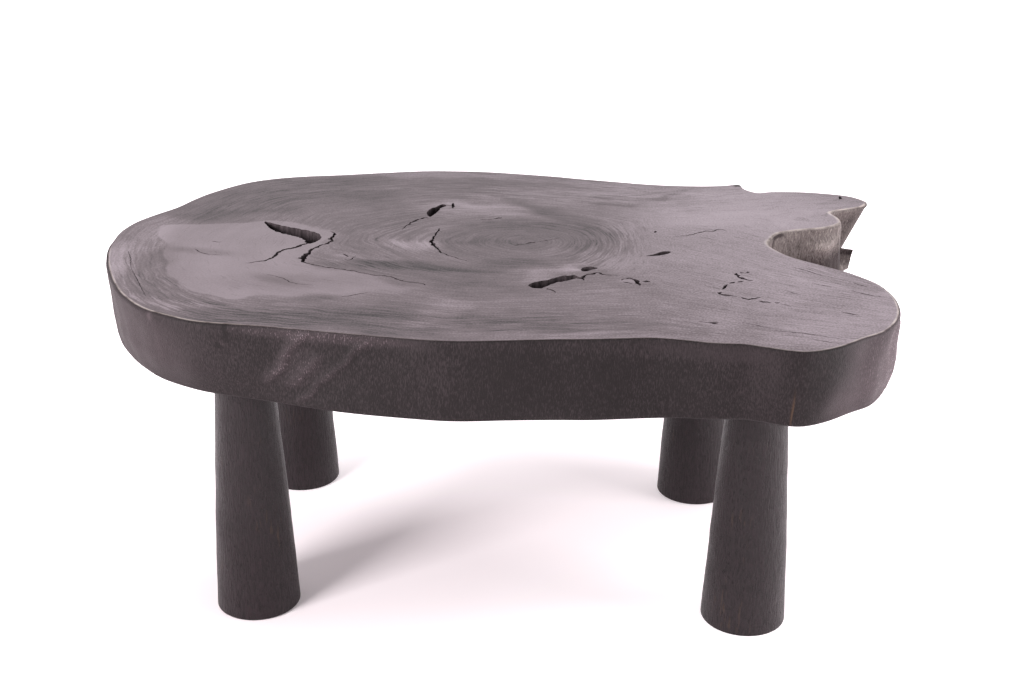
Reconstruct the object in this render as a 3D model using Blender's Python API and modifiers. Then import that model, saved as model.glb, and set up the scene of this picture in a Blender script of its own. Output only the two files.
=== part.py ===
"""Live edge coffee table: one thick slab of dark wood, with its natural outline, notch, horn and voids,
on four turned legs that widen to the foot. Each leg hangs on a steel hanger bolt, screwed into its head,
that runs up into a brass insert in the slab's underside.

Metres, +Z up. The origin is on the floor, under the middle of the slab's bounding box. +X runs along the
slab towards the horn and +Y runs from the front edge to the back edge.
"""

import math

import bmesh
import bpy
from mathutils import Vector

MM = 0.001

# Driving dimensions, in metres
HEIGHT = 0.440
SLAB_THICKNESS = 0.096
SLAB_UNDERSIDE = HEIGHT - SLAB_THICKNESS
FIT_GAP = 0.0003

LEG_FOOT_DIAMETER = 0.108
LEG_HEAD_DIAMETER = 0.068
LEG_FOOT_ROUND = 0.006
LEG_HEAD_ROUND = 0.002
LEG_SWELL = 0.0012
LEG_ROWS = 9
LEG_SIDES = 32

BOLT_DIAMETER = 0.012
BOLT_IN_LEG = 0.060
BOLT_IN_SLAB = 0.034
BOLT_POINT = 0.012
BOLT_CHAMFER = 0.001
BOLT_SIDES = 20

INSERT_DIAMETER = 0.018
INSERT_LENGTH = 0.030
INSERT_FLANGE_DIAMETER = 0.026
INSERT_FLANGE = 0.002
INSERT_CHAMFER = 0.001
INSERT_SIDES = 24

TOP_EDGE_ROUND = 0.003
UNDER_EDGE_ROUND = 0.006
EDGE_STEPS = 2
SHARP_ANGLE = math.radians(35)
CUTTER_MARGIN = 0.010

# Steps from one outline point to the next, and how many steps to each side set the wall's direction
OUTLINE_STEPS = 3
WALL_DIRECTION_REACH = 9
VOID_STEPS = 3

# Middle of each leg
LEGS = {
    "front_left": (-0.305, -0.188),
    "front_right": (0.330, -0.183),
    "back_left": (-0.315, 0.171),
    "back_right": (0.285, 0.166),
}

# The live edge seen from above, in millimetres, from the left end along the front, round the right lobe,
# into the notch, out round the horn and home along the back: x, y, then how far the wall is drawn in at
# its waist and at the underside. A minus bulges out.
LIVE_EDGE = [
    (-514, 16, -4, 2),
    (-511, -20, -4, 2),
    (-503, -57, -4, 3),
    (-488, -103, -3, 4),
    (-470, -153, -2, 6),
    (-447, -202, 0, 8),
    (-425, -238, 2, 10),
    (-395, -273, 3, 12),
    (-357, -299, 4, 13),
    (-319, -314, 4, 11),
    (-245, -323, 2, 6),
    (-155, -337, -2, -2),
    (-66, -350, -3, -4),
    (-21, -352, -2, -3),
    (31, -346, -1, -2),
    (84, -339, -2, -4),
    (129, -335, -2, -4),
    (189, -327, -1, -2),
    (226, -331, 0, 2),
    (256, -337, 2, 6),
    (293, -339, 4, 9),
    (316, -346, 5, 11),
    (346, -355, 4, 11),
    (369, -353, 3, 10),
    (398, -337, 1, 8),
    (428, -310, -1, 6),
    (451, -288, -2, 5),
    (469, -258, -3, 4),
    (479, -228, -4, 3),
    (483, -198, -4, 2),
    (482, -168, -4, 2),
    (473, -131, -2, 2),
    (462, -108, 0, 2),
    (443, -85, 1, 3),
    (413, -59, 2, 4),
    (383, -33, 1, 3),
    (368, -11, 1, 3),
    (357, 16, 2, 4),
    (361, 42, 3, 5),
    (376, 72, 3, 5),
    (406, 88, 2, 2),
    (443, 103, 2, 0),
    (462, 124, 6, 2),
    (464, 146, 10, 0),
    (458, 169, 14, -2),
    (466, 182, 18, 0),
    (488, 195, 24, 4),
    (510, 210, 26, 10),
    (518, 229, 27, 18),
    (512, 243, 22, 16),
    (495, 262, 16, 16),
    (465, 273, 10, 14),
    (428, 276, 8, 12),
    (387, 272, 6, 12),
    (369, 265, 5, 10),
    (355, 273, 5, 10),
    (344, 290, 5, 10),
    (339, 309, 14, 20),
    (316, 302, 5, 12),
    (286, 297, 5, 12),
    (241, 296, 4, 11),
    (198, 300, 4, 10),
    (159, 311, 4, 10),
    (99, 324, 4, 10),
    (54, 337, 4, 10),
    (-36, 354, 4, 10),
    (-96, 356, 4, 10),
    (-141, 351, 4, 10),
    (-200, 337, 4, 10),
    (-260, 318, 4, 10),
    (-320, 306, 4, 10),
    (-365, 288, 4, 10),
    (-400, 261, 4, 10),
    (-436, 211, 3, 9),
    (-451, 171, 1, 8),
    (-466, 131, -1, 6),
    (-488, 93, -3, 4),
    (-508, 57, -4, 3),
]

# How the wall falls: share of the thickness, then the shares of the waist's and the underside's inset
WALL_SECTIONS = [(0.30, 0.45, 0.0), (0.55, 1.0, 0.0), (0.75, 0.5, 0.5)]

# Natural voids and open cracks in the top, in millimetres: depth, then x, y and half the width along each
VOIDS = {
    "void_left": (45, [(-327, 68, 1), (-319, 56, 6), (-306, 44, 10), (-290, 34, 13), (-272, 23, 14.5),
                       (-256, 10, 14), (-247, -4, 9.5), (-249, -18, 3)]),
    "void_middle": (32, [(-104, 112, 1), (-105, 124, 4.5), (-103, 138, 6.5), (-101, 150, 6),
                         (-96, 160, 4.5), (-92, 171, 3)]),
    "void_front": (36, [(48, -162, 2), (57, -160, 9), (66, -153, 10), (76, -146, 9), (87, -137, 8.5),
                        (97, -130, 7.5), (104, -128, 3)]),
    "void_small": (22, [(109, -98, 2), (114, -96, 5.5), (120, -92, 4.5), (127, -88, 1)]),
    "void_leaf": (16, [(193, -40, 0.7), (202, -35, 3.2), (211, -29, 4.8), (219, -23, 4.5), (224, -18, 1.5)]),
    "crack_left": (12, [(-251, -22, 2), (-264, -37, 2.5), (-277, -48, 2), (-283, -66, 2), (-287, -86, 1.8),
                        (-300, -98, 1.6), (-315, -105, 0.8)]),
    "crack_beside_void": (14, [(-230, 33, 0.8), (-223, 20, 1.8), (-224, 0, 2.2), (-231, -24, 1.6),
                               (-241, -48, 2), (-246, -76, 4.5), (-240, -97, 1.5), (-215, -111, 1),
                               (-179, -123, 1.2), (-147, -138, 1), (-125, -143, 1.2), (-109, -157, 1.2),
                               (-81, -166, 0.7)]),
    "crack_ring": (14, [(-85, 60, 0.7), (-88, 32, 1.3), (-89, 6, 1.8), (-87, -10, 2.8), (-78, -30, 1.2),
                        (-57, -58, 0.7)]),
}

# A void's section: share of its depth, then share of its width there
VOID_SECTIONS = [(0.4, 0.95), (1.0, 0.55)]


def clear_scene():
    for leftover in list(bpy.data.objects):
        bpy.data.objects.remove(leftover, do_unlink=True)


def new_collection(name):
    collection = bpy.data.collections.new(name)
    bpy.context.scene.collection.children.link(collection)
    return collection


def plain_material(name, colour, roughness, metallic):
    material = bpy.data.materials.new(name)
    material.use_nodes = True
    shader = material.node_tree.nodes["Principled BSDF"]
    shader.inputs["Base Color"].default_value = (*colour, 1)
    shader.inputs["Roughness"].default_value = roughness
    shader.inputs["Metallic"].default_value = metallic
    return material


def add_object(name, mesh, collection, material=None):
    thing = bpy.data.objects.new(name, mesh)
    collection.objects.link(thing)
    if material:
        mesh.materials.append(material)
    return thing


def hide_cutter(cutter):
    cutter.hide_render = True
    cutter.display_type = "WIRE"
    return cutter


def turned(name, profile, sides, collection, material=None, ring=False):
    """A profile of (radius, height) pairs, run top to bottom on its outer side, turned about Z."""
    points = [(radius, 0, height) for radius, height in profile]
    edges = [(i, i + 1) for i in range(len(points) - 1)]
    if ring:
        edges.append((len(points) - 1, 0))
    mesh = bpy.data.meshes.new(name)
    mesh.from_pydata(points, edges, [])
    thing = add_object(name, mesh, collection, material)
    lathe = thing.modifiers.new("turned", "SCREW")
    lathe.axis = "Z"
    lathe.steps = sides
    lathe.render_steps = sides
    lathe.use_merge_vertices = True
    lathe.merge_threshold = 0.0001
    lathe.use_smooth_shade = True
    return thing


def cut(body, cutter):
    difference = body.modifiers.new(cutter.name, "BOOLEAN")
    difference.operation = "DIFFERENCE"
    difference.solver = "EXACT"
    difference.object = cutter


def curve_through(points, closed, steps):
    """Catmull-Rom curve through rows of numbers, with the same steps from each row to the next."""
    rows = [Vector(point) for point in points]
    count = len(rows)
    curve = []
    for i in range(count if closed else count - 1):
        if closed:
            before, start, end, after = (rows[(i + k) % count] for k in (-1, 0, 1, 2))
        else:
            before, start, end, after = (rows[min(max(i + k, 0), count - 1)] for k in (-1, 0, 1, 2))
        for step in range(steps):
            t = step / steps
            curve.append(
                0.5 * ((2 * start) + (end - before) * t
                       + (2 * before - 5 * start + 4 * end - after) * t ** 2
                       + (3 * start - before - 3 * end + after) * t ** 3)
            )
    if not closed:
        curve.append(rows[-1])
    return curve


def left_of(ahead, behind):
    """Unit vector to the left of the way from one point to another, seen from above."""
    along = Vector((ahead[0] - behind[0], ahead[1] - behind[1])).normalized()
    return Vector((-along.y, along.x))


def inward_directions(outline):
    """Unit vectors into the slab from each point of the anticlockwise outline, taken over a stretch of it
    so that they turn gently round the splinter, the horn and the notch."""
    reach = WALL_DIRECTION_REACH
    count = len(outline)
    return [left_of(outline[(i + reach) % count], outline[i - reach]) for i in range(count)]


def loft(name, rings):
    """Closed mesh through rings of equal count, listed from top to bottom, capped at both ends."""
    shape = bmesh.new()
    loops = [[shape.verts.new(point) for point in ring] for ring in rings]
    count = len(loops[0])
    for upper, lower in zip(loops, loops[1:]):
        for i in range(count):
            j = (i + 1) % count
            shape.faces.new((upper[i], lower[i], lower[j], upper[j]))
    shape.faces.new(loops[0])
    shape.faces.new(reversed(loops[-1]))
    bmesh.ops.recalc_face_normals(shape, faces=shape.faces)
    mesh = bpy.data.meshes.new(name)
    shape.to_mesh(mesh)
    shape.free()
    return mesh


def wall_levels():
    """(depth, waist share, underside share, extra inset) from the top to the underside: a quarter round at
    the top edge, the wall's own sections, and a larger quarter round at the lower edge."""
    levels = []
    for step in range(EDGE_STEPS):
        angle = math.pi / 2 * step / EDGE_STEPS
        levels.append((TOP_EDGE_ROUND * (1 - math.cos(angle)), 0, 0, TOP_EDGE_ROUND * (1 - math.sin(angle))))
    levels.append((TOP_EDGE_ROUND, 0, 0, 0))
    levels += [(share * SLAB_THICKNESS, waist, under, 0) for share, waist, under in WALL_SECTIONS]
    for step in range(EDGE_STEPS + 1):
        angle = math.pi / 2 * step / EDGE_STEPS
        depth = SLAB_THICKNESS - UNDER_EDGE_ROUND * (1 - math.sin(angle))
        levels.append((depth, 0, 1, UNDER_EDGE_ROUND * (1 - math.cos(angle))))
    return levels


def slab_rings():
    outline = curve_through([[value * MM for value in row] for row in LIVE_EDGE], True, OUTLINE_STEPS)
    inward = inward_directions(outline)
    rings = []
    for depth, waist_share, under_share, extra in wall_levels():
        ring = []
        for (x, y, waist, under), direction in zip(outline, inward):
            inset = waist_share * waist + under_share * under + extra
            ring.append((x + direction.x * inset, y + direction.y * inset, HEIGHT - depth))
        rings.append(ring)
    return rings


def void_cutter(name, depth, path, collection):
    """A pocket along a path: sides offset by half its width, narrower at its floor, open at the top."""
    line = curve_through([[value * MM for value in row] for row in path], False, VOID_STEPS)
    last = len(line) - 1
    sections = [(HEIGHT + CUTTER_MARGIN, 1.0)]
    sections += [(HEIGHT - share * depth * MM, width) for share, width in VOID_SECTIONS]
    rings = []
    for height, width in sections:
        left = []
        right = []
        for i, (x, y, half) in enumerate(line):
            side = left_of(line[min(i + 1, last)], line[max(i - 1, 0)]) * half * width
            left.append((x + side.x, y + side.y, height))
            right.append((x - side.x, y - side.y, height))
        rings.append(right + left[::-1])
    return hide_cutter(add_object(name, loft(name, rings), collection))


def insert_hole(name, place, collection):
    """Stepped blind hole for an insert, with room above it for the end of the bolt."""
    flange = INSERT_FLANGE_DIAMETER / 2 + FIT_GAP
    sleeve = INSERT_DIAMETER / 2 + FIT_GAP
    bolt = BOLT_DIAMETER / 2 + 2 * FIT_GAP
    flange_top = INSERT_FLANGE + 2 * FIT_GAP
    sleeve_top = INSERT_LENGTH + 2 * FIT_GAP
    bolt_top = BOLT_IN_SLAB + CUTTER_MARGIN
    profile = [(0, bolt_top), (bolt, bolt_top), (bolt, sleeve_top), (sleeve, sleeve_top),
               (sleeve, flange_top), (flange, flange_top), (flange, -CUTTER_MARGIN), (0, -CUTTER_MARGIN)]
    cutter = turned(name, profile, INSERT_SIDES, collection)
    cutter.location = (*place, SLAB_UNDERSIDE)
    return hide_cutter(cutter)


def make_slab(parts, cutters, wood):
    mesh = loft("slab_top", slab_rings())
    mesh.shade_smooth()
    mesh.set_sharp_from_angle(angle=SHARP_ANGLE)
    slab = add_object("slab_top", mesh, parts, wood)
    for name, (depth, path) in VOIDS.items():
        cut(slab, void_cutter(name, depth, path, cutters))
    for corner, place in LEGS.items():
        cut(slab, insert_hole("insert_hole_" + corner, place, cutters))


def leg_profile():
    """The bolt's bore, then the head, then a side that swells a little on its way to the round foot."""
    head = LEG_HEAD_DIAMETER / 2
    foot = LEG_FOOT_DIAMETER / 2
    top = SLAB_UNDERSIDE - FIT_GAP
    bore = BOLT_DIAMETER / 2 + FIT_GAP
    bore_floor = top - BOLT_IN_LEG
    profile = [(0, bore_floor), (bore, bore_floor + BOLT_POINT), (bore, top), (head - LEG_HEAD_ROUND, top)]
    for i in range(LEG_ROWS):
        share = i / (LEG_ROWS - 1)
        height = (top - LEG_HEAD_ROUND) * (1 - share) + LEG_FOOT_ROUND * share
        profile.append((head + (foot - head) * share + LEG_SWELL * math.sin(math.pi * share), height))
    for step in range(1, EDGE_STEPS + 1):
        angle = math.pi / 2 * step / EDGE_STEPS
        inset = LEG_FOOT_ROUND * (1 - math.cos(angle))
        profile.append((foot - inset, LEG_FOOT_ROUND * (1 - math.sin(angle))))
    profile.append((0, 0))
    return profile


def bolt_profile():
    """Plain shank at the thread's outside size: chamfered machine end above, wood point below."""
    radius = BOLT_DIAMETER / 2
    tip = -BOLT_IN_LEG + 2 * FIT_GAP
    return [(0, BOLT_IN_SLAB), (radius - BOLT_CHAMFER, BOLT_IN_SLAB), (radius, BOLT_IN_SLAB - BOLT_CHAMFER),
            (radius, tip + BOLT_POINT), (0, tip)]


def insert_profile():
    """Flanged sleeve, flange down, with a clear bore for the bolt."""
    flange = INSERT_FLANGE_DIAMETER / 2
    sleeve = INSERT_DIAMETER / 2
    bore = BOLT_DIAMETER / 2 + FIT_GAP
    base = FIT_GAP
    return [(bore, INSERT_LENGTH), (sleeve - INSERT_CHAMFER, INSERT_LENGTH),
            (sleeve, INSERT_LENGTH - INSERT_CHAMFER), (sleeve, base + INSERT_FLANGE),
            (flange, base + INSERT_FLANGE), (flange, base), (bore, base)]


def make_leg_set(corner, place, parts, wood, steel, brass):
    leg = turned("leg_" + corner, leg_profile(), LEG_SIDES, parts, wood)
    leg.location = (*place, 0)
    bolt = turned("hanger_bolt_" + corner, bolt_profile(), BOLT_SIDES, parts, steel)
    bolt.location = (*place, SLAB_UNDERSIDE)
    insert = turned("threaded_insert_" + corner, insert_profile(), INSERT_SIDES, parts, brass, ring=True)
    insert.location = (*place, SLAB_UNDERSIDE)


def main():
    clear_scene()
    parts = new_collection("live_edge_coffee_table")
    cutters = new_collection("cutters")
    slab_wood = plain_material("slab_wood", (0.045, 0.039, 0.040), 0.45, 0.0)
    leg_wood = plain_material("leg_wood", (0.035, 0.030, 0.030), 0.50, 0.0)
    steel = plain_material("bolt_steel", (0.55, 0.55, 0.56), 0.35, 1.0)
    brass = plain_material("insert_brass", (0.72, 0.53, 0.24), 0.35, 1.0)
    make_slab(parts, cutters, slab_wood)
    for corner, place in LEGS.items():
        make_leg_set(corner, place, parts, leg_wood, steel, brass)


main()
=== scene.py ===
"""Looks of the live edge coffee table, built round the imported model: a burnt and waxed slab with its growth
rings, live edge, voids and cracks, four turned legs, and the plated bolts and brass inserts inside.

Places on the slab are in millimetres, seen from above in the model's own frame. Meshes are in metres.
"""

import math

import bpy
import numpy as np
from mathutils import Matrix, Vector


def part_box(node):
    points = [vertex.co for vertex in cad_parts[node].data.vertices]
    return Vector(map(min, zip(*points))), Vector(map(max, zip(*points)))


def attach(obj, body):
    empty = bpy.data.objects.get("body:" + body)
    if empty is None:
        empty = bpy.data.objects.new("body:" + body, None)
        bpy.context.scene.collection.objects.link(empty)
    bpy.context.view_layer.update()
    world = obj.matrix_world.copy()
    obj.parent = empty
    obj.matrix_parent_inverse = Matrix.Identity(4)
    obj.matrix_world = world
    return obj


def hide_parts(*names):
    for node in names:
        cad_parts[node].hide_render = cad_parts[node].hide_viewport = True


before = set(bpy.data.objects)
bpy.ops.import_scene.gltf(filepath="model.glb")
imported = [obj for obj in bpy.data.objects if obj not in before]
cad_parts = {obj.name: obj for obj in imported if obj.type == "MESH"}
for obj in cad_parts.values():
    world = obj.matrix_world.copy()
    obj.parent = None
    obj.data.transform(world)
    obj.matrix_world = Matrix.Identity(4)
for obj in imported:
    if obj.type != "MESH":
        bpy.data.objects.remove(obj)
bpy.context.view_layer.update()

MM = 0.001

# The slab's levels and each leg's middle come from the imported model
slab_low, slab_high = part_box("slab_top")
TOP = slab_high.z / MM
UNDERSIDE = slab_low.z / MM
THICKNESS = TOP - UNDERSIDE
CORNERS = ["front_left", "front_right", "back_left", "back_right"]

# The live edge from the left end along the front, round the right lobe, into the notch, round the horn and
# home along the back: x, y, then how far the wall is drawn in at its waist and at the underside
LIVE_EDGE = [
    (-513, 16, -4, 2),
    (-511, -21, -3, 3),
    (-507, -58, -1, 5),
    (-494, -105, 2, 7),
    (-475, -155, 4, 7),
    (-451, -205, 5, 12),
    (-428, -241, 5, 16),
    (-397, -275, 5, 18),
    (-357, -299, 4, 17),
    (-319, -314, 4, 16),
    (-245, -323, 2, 6),
    (-155, -337, -2, -4),
    (-66, -350, -3, -3),
    (-21, -352, -2, -3),
    (31, -346, -1, -3),
    (84, -339, -2, -5),
    (129, -335, -2, -6),
    (189, -327, -1, -5),
    (226, -331, 0, 2),
    (256, -337, 2, 6),
    (293, -339, 4, 9),
    (316, -346, 5, 11),
    (346, -355, 4, 11),
    (369, -353, 3, 10),
    (398, -337, 1, 10),
    (428, -310, 1, 9),
    (453, -289, 1, 9),
    (471, -259, 1, 9),
    (481, -229, 0, 8),
    (485, -198, 0, 7),
    (484, -167, 0, 6),
    (475, -130, 0, 3),
    (462, -108, 0, 2),
    (443, -85, 1, 3),
    (413, -59, 2, 4),
    (383, -33, 1, 3),
    (368, -11, 1, 3),
    (357, 16, 2, 4),
    (361, 42, 3, 5),
    (376, 72, 3, 5),
    (406, 88, 2, 2),
    (444, 102, 2, 0),
    (464, 122, 0, -3),
    (466, 145, -2, -6),
    (459, 169, 9, 0),
    (466, 182, 21, 0.5),
    (488, 195, 28, 0.5),
    (510, 210, 31, 26),
    (518, 229, 32, 30),
    (512, 244, 26, 26),
    (495, 260, 18, 18),
    (465, 271, 10, 14),
    (428, 277, 8, 12),
    (387, 275, 6, 12),
    (367, 268, 5, 10),
    (354, 276, 5, 10),
    (345, 290, 5, 10),
    (340, 310, 14, 20),
    (316, 303, 5, 12),
    (286, 298, 5, 12),
    (241, 298, 4, 11),
    (198, 303, 4, 10),
    (159, 312, 4, 10),
    (99, 326, 4, 10),
    (54, 338, 4, 10),
    (-36, 354, 4, 10),
    (-96, 356, 4, 10),
    (-141, 353, 4, 10),
    (-200, 339, 4, 10),
    (-261, 322, 4, 10),
    (-321, 308, 4, 10),
    (-366, 290, 4, 10),
    (-402, 263, 4, 10),
    (-437, 212, 3, 9),
    (-455, 172, 1, 8),
    (-469, 131, -1, 6),
    (-490, 93, -3, 4),
    (-506, 57, -4, 3),
]
EDGE_ROWS = len(LIVE_EDGE)

# The wall is drawn in square to the edge, whose direction is taken over this many rows to each side
DIRECTION_REACH = 3

# Columns from one row of LIVE_EDGE to the next: a usual number, then first row, last row and number where
# the wall has finer forms, at the ridges, at the brown streak, and from the notch to the splinter
COARSE_STEPS = 7
FINE_STEPS = [(9, 12, 28), (21, 23, 14), (34, 59, 12)]

# Rings of the slab's surface, from the pith out over the rim, down the wall and back under to the middle.
# The ring just inside the rim and those of the underside are given as shares of the way out
TOP_ROWS = 64
RIM_SUPPORT = 0.992
ROUND_ROWS = 5
WALL_ROWS = 28
UNDER_ROUND_ROWS = 4
UNDER_SHARES = [0.97, 0.8, 0.6, 0.4, 0.2]
OUTLINE_RING = TOP_ROWS + ROUND_ROWS - 1

# Strips between rings where the wall's finish and the underside's start
WALL_STRIP = TOP_ROWS - 1
UNDER_STRIP = TOP_ROWS + ROUND_ROWS + WALL_ROWS + 2

# The lower edge's round in mm, the share of it that coarse fibre takes, and where along the front it is
# sharper: row, half length in rows and mm
UNDER_ROUND = 6
UNDER_ROUND_TORN = 0.7
UNDER_ROUND_SHARPER = (15, 4, 3)

# Height of the wall's waist, as a share of the thickness down from the top
WAIST = 0.55

# Along the edge, by row of LIVE_EDGE: the top edge's round in mm, then how worn the rim is, how coarse the
# wall's fibre is and how much the wall ripples, each from 0 to 1
EDGE_FINISH = [
    (0, 3.5, 0.10, 0.05, 0.10),
    (3, 4.0, 0.35, 0.05, 0.10),
    (6, 4.0, 0.55, 0.05, 0.10),
    (8.5, 4.0, 0.50, 0.10, 0.25),
    (9.8, 3.5, 0.18, 0.15, 1.00),
    (11.2, 2.5, 0.10, 0.15, 1.00),
    (12.5, 2.5, 0.05, 0.10, 0.25),
    (13.5, 2.2, 0.03, 0.05, 0.10),
    (18, 2.2, 0.08, 0.05, 0.10),
    (21, 2.2, 0.26, 0.05, 0.10),
    (24, 3.0, 0.40, 0.05, 0.15),
    (26, 3.5, 0.95, 0.05, 0.55),
    (30, 3.5, 0.80, 0.05, 0.80),
    (33, 3.0, 0.15, 0.20, 0.20),
    (35.6, 3.0, 0.25, 0.75, 0.10),
    (37.5, 4.5, 0.85, 1.00, 0.10),
    (40, 4.0, 0.75, 1.00, 0.10),
    (43, 4.0, 0.90, 1.00, 0.10),
    (47, 4.0, 1.00, 0.80, 0.10),
    (50, 2.5, 0.25, 0.30, 0.15),
    (55, 2.0, 0.18, 0.30, 0.15),
    (57, 1.5, 0.06, 0.30, 0.15),
    (60, 2.0, 0.08, 0.10, 0.20),
    (70, 2.2, 0.08, 0.05, 0.20),
    (75, 2.8, 0.08, 0.05, 0.15),
]

# Paler and darker wall, some of it painted light and shade as noted: row of LIVE_EDGE, height, half length in
# rows, half height, how much paler
WALL_TONES_AND_PAINTED_LIGHT = [
    (10.8, 435, 1.2, 8, 0.17),
    (10.45, 396, 0.35, 22, 0.06),
    (10.05, 412, 0.25, 20, -0.04),
    (9.31, 413, 0.04, 3, -0.25),
    (9.37, 416, 0.05, 2, 0.12),
    (9.45, 430, 0.03, 10, -0.20),
    (8.35, 432, 0.03, 8, -0.20),
    (7.3, 434, 0.06, 6, 0.16),
    (7.4, 405, 0.05, 28, 0.05),
    (12.2, 405, 0.8, 30, 0.03),
    (18.5, 428, 2.5, 12, 0.05),
    (14.5, 432, 1.5, 5, 0.03),
    # Painted sheen and painted light on the right lobe's wall, paler where it is seen at a glancing angle and
    # lit from the right
    (27.6, 395, 1.7, 70, 0.42),
    (25.0, 366, 1.3, 34, 0.17),
    (25.3, 424, 0.9, 40, 0.16),
    # Painted light on the left end's wall, which faces the left lamp
    (4.5, 395, 4.2, 70, 0.13),
    (21.0, 395, 1.2, 60, 0.03),
    (15.0, 390, 3.5, 60, -0.02),
    # A dark crack painted near the notch's apex: charred wood and the painted shade in it
    (38.45, 427, 0.12, 10, -0.90),
    (38.85, 436, 0.40, 2.5, -0.70),
    (39.6, 410, 0.9, 24, -0.08),
    # Painted highlight on the notch's bulge
    (40.9, 414, 0.55, 8, 0.24),
    (41.6, 380, 2.0, 22, -0.50),
    (42.4, 432, 0.7, 10, 0.08),
    # Painted shade low in the notch, right of the bulge
    (42.6, 380, 1.0, 30, -0.34),
    (46.8, 425, 0.8, 12, -0.18),
    (46.0, 405, 1.8, 26, -0.16),
    # Painted shadow on the left side of the spur's point, then painted light on its sloped shoulder
    (46.08, 373, 0.07, 4, -0.50),
    (45.7, 362, 0.2, 12, 0.22),
    (57, 425, 0.5, 24, -0.30),
]

# A thin brown streak near the right lobe: row, height, half length in rows, half height
BROWN_STREAK = (22.12, 366, 0.035, 22)

# Middle of the growth rings, how much longer than wide they are, and the ring scale's length in mm
PITH = (36, 8)
RING_STRETCH = 1.2
RING_SCALE = 340

# The top's usual tone and ring contrast, the most contrast, and how far in mm its patches are drawn out of
# shape
TOP_TONE = 0.505
RING_CONTRAST = 0.12
MOST_CONTRAST = 1.2
FIGURE_WARP = 9

# The dark disc round the pith: its middle, half width and height, and how much darker it is
DISC_MIDDLE = (39, 12)
DISC_HALF = (127, 103)
DISC_DARKER = 0.10

# Pale smooth heartwood of the left lobe
HEARTWOOD = [
    (-466, 41), (-452, 0), (-437, -45), (-418, -95), (-405, -150), (-378, -190), (-340, -222), (-300, -234),
    (-250, -226), (-190, -214), (-140, -203), (-95, -190), (-72, -176), (-120, -150), (-180, -128),
    (-234, -106), (-244, -70), (-234, -30), (-226, 10), (-234, 36), (-262, 42), (-300, 62), (-332, 80),
    (-375, 73), (-425, 58),
]

# Paler and darker wood: x, y, half length, half width, turn in degrees, how much paler
TONE_PATCHES = [
    (-350, 190, 150, 75, 35, -0.18),
    (-205, 215, 50, 22, 0, -0.16),
    (-385, 105, 70, 20, 15, -0.18),
    (-200, 170, 55, 40, 0, -0.09),
    (-120, 290, 190, 45, 0, -0.10),
    (-100, 329, 140, 22, 2, 0.18),
    (60, 262, 150, 9, -4, -0.05),
    (210, 262, 190, 60, 2, 0.20),
    (212, 251, 52, 5, 15, -0.16),
    (240, 233, 50, 5, 15, -0.18),
    (150, 183, 30, 9, -4, -0.22),
    (147, 222, 18, 6, 4, -0.36),
    (235, 140, 85, 60, 0, 0.20),
    (-160, 40, 62, 120, 0, -0.06),
    (-116, -10, 32, 26, 24, 0.30),
    (-48, 166, 60, 22, -6, 0.28),
    (-20, 130, 62, 15, 0, 0.14),
    (60, 190, 60, 22, -18, 0.04),
    (60, 150, 95, 15, -44, -0.20),
    (-25, 2, 60, 13, 0, -0.12),
    (62, -42, 48, 26, 0, 0.10),
    (40, 75, 85, 22, -8, -0.10),
    (135, 20, 22, 70, 0, -0.05),
    (-105, -105, 90, 17, -4, -0.32),
    (0, -92, 80, 22, 4, -0.18),
    (-30, -150, 110, 30, -8, -0.10),
    (-10, -188, 60, 28, 0, -0.13),
    (160, -68, 45, 30, -30, 0.10),
    (72, -122, 40, 13, 35, 0.14),
    (-230, -170, 90, 30, 0, -0.09),
    (-150, -290, 230, 40, 0, -0.24),
    (60, -300, 190, 34, 0, -0.02),
    (-44, -248, 58, 30, 60, 0.13),
    (-60, -297, 66, 12, 0, 0.16),
    (200, -328, 210, 18, 0, 0.12),
    (270, -240, 190, 70, 0, 0.03),
    (320, -10, 150, 190, 0, 0.25),
    (400, 180, 140, 110, 0, 0.32),
    (400, -190, 110, 130, 0, 0.13),
    (410, -290, 90, 60, 25, 0.18),
    (472, -205, 24, 80, 0, 0.16),
    (90, -200, 160, 30, 0, 0.05),
    (-410, -170, 40, 130, 25, -0.05),
    (-424, -80, 20, 45, 10, -0.10),
    (-482, -105, 24, 76, 14, 0.29),
    (-462, 10, 26, 74, 4, 0.13),
    (262, -272, 40, 28, 0, 0.15),
    (-150, -88, 24, 9, -14, -0.10),
    (-356, -262, 50, 15, -22, 0.16),
    (176, -136, 16, 11, 0, 0.14),
]

# Small spots, in the same form
SPOTS = [
    (95, -95, 13, 11, 20, 0.30),
    (105, -101, 7, 4, 0, 0.24),
    (340, 307, 8, 7, 0, -1.30),
    (472, 236, 10, 6, 20, -0.12),
    (-193, -70, 16, 16, 0, 0.13),
    (-378, -62, 48, 12, -12, -0.14),
    (-265, -163, 44, 12, -30, -0.14),
    (-208, -228, 50, 10, 12, -0.10),
]

# Where the ring lines show, in the same form
RING_PATCHES = [
    (142, 12, 40, 96, 0, 0.58),
    (20, 12, 105, 85, 0, 0.22),
    (60, 90, 110, 24, -20, 0.40),
    (80, -70, 80, 26, 30, 0.35),
    (-120, 110, 50, 110, -18, 0.45),
    (-150, 20, 50, 130, 0, 0.25),
    (-460, -60, 50, 130, 12, 0.12),
    (-420, -215, 60, 110, 38, 0.48),
    (-300, -280, 120, 40, -14, 0.65),
    (-60, -290, 260, 45, 0, 0.55),
    (180, -290, 160, 50, 0, 0.35),
    (30, 262, 260, 60, 0, 0.55),
    (-330, 210, 130, 70, 40, 0.45),
    (420, -120, 90, 70, -35, 0.60),
    (420, -260, 90, 80, 0, 0.50),
    (210, 255, 170, 50, 4, 0.55),
    (300, -160, 120, 90, 0, 0.25),
    (-160, -110, 110, 30, -8, 0.35),
    (-230, -180, 150, 40, -8, 0.20),
]

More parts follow.
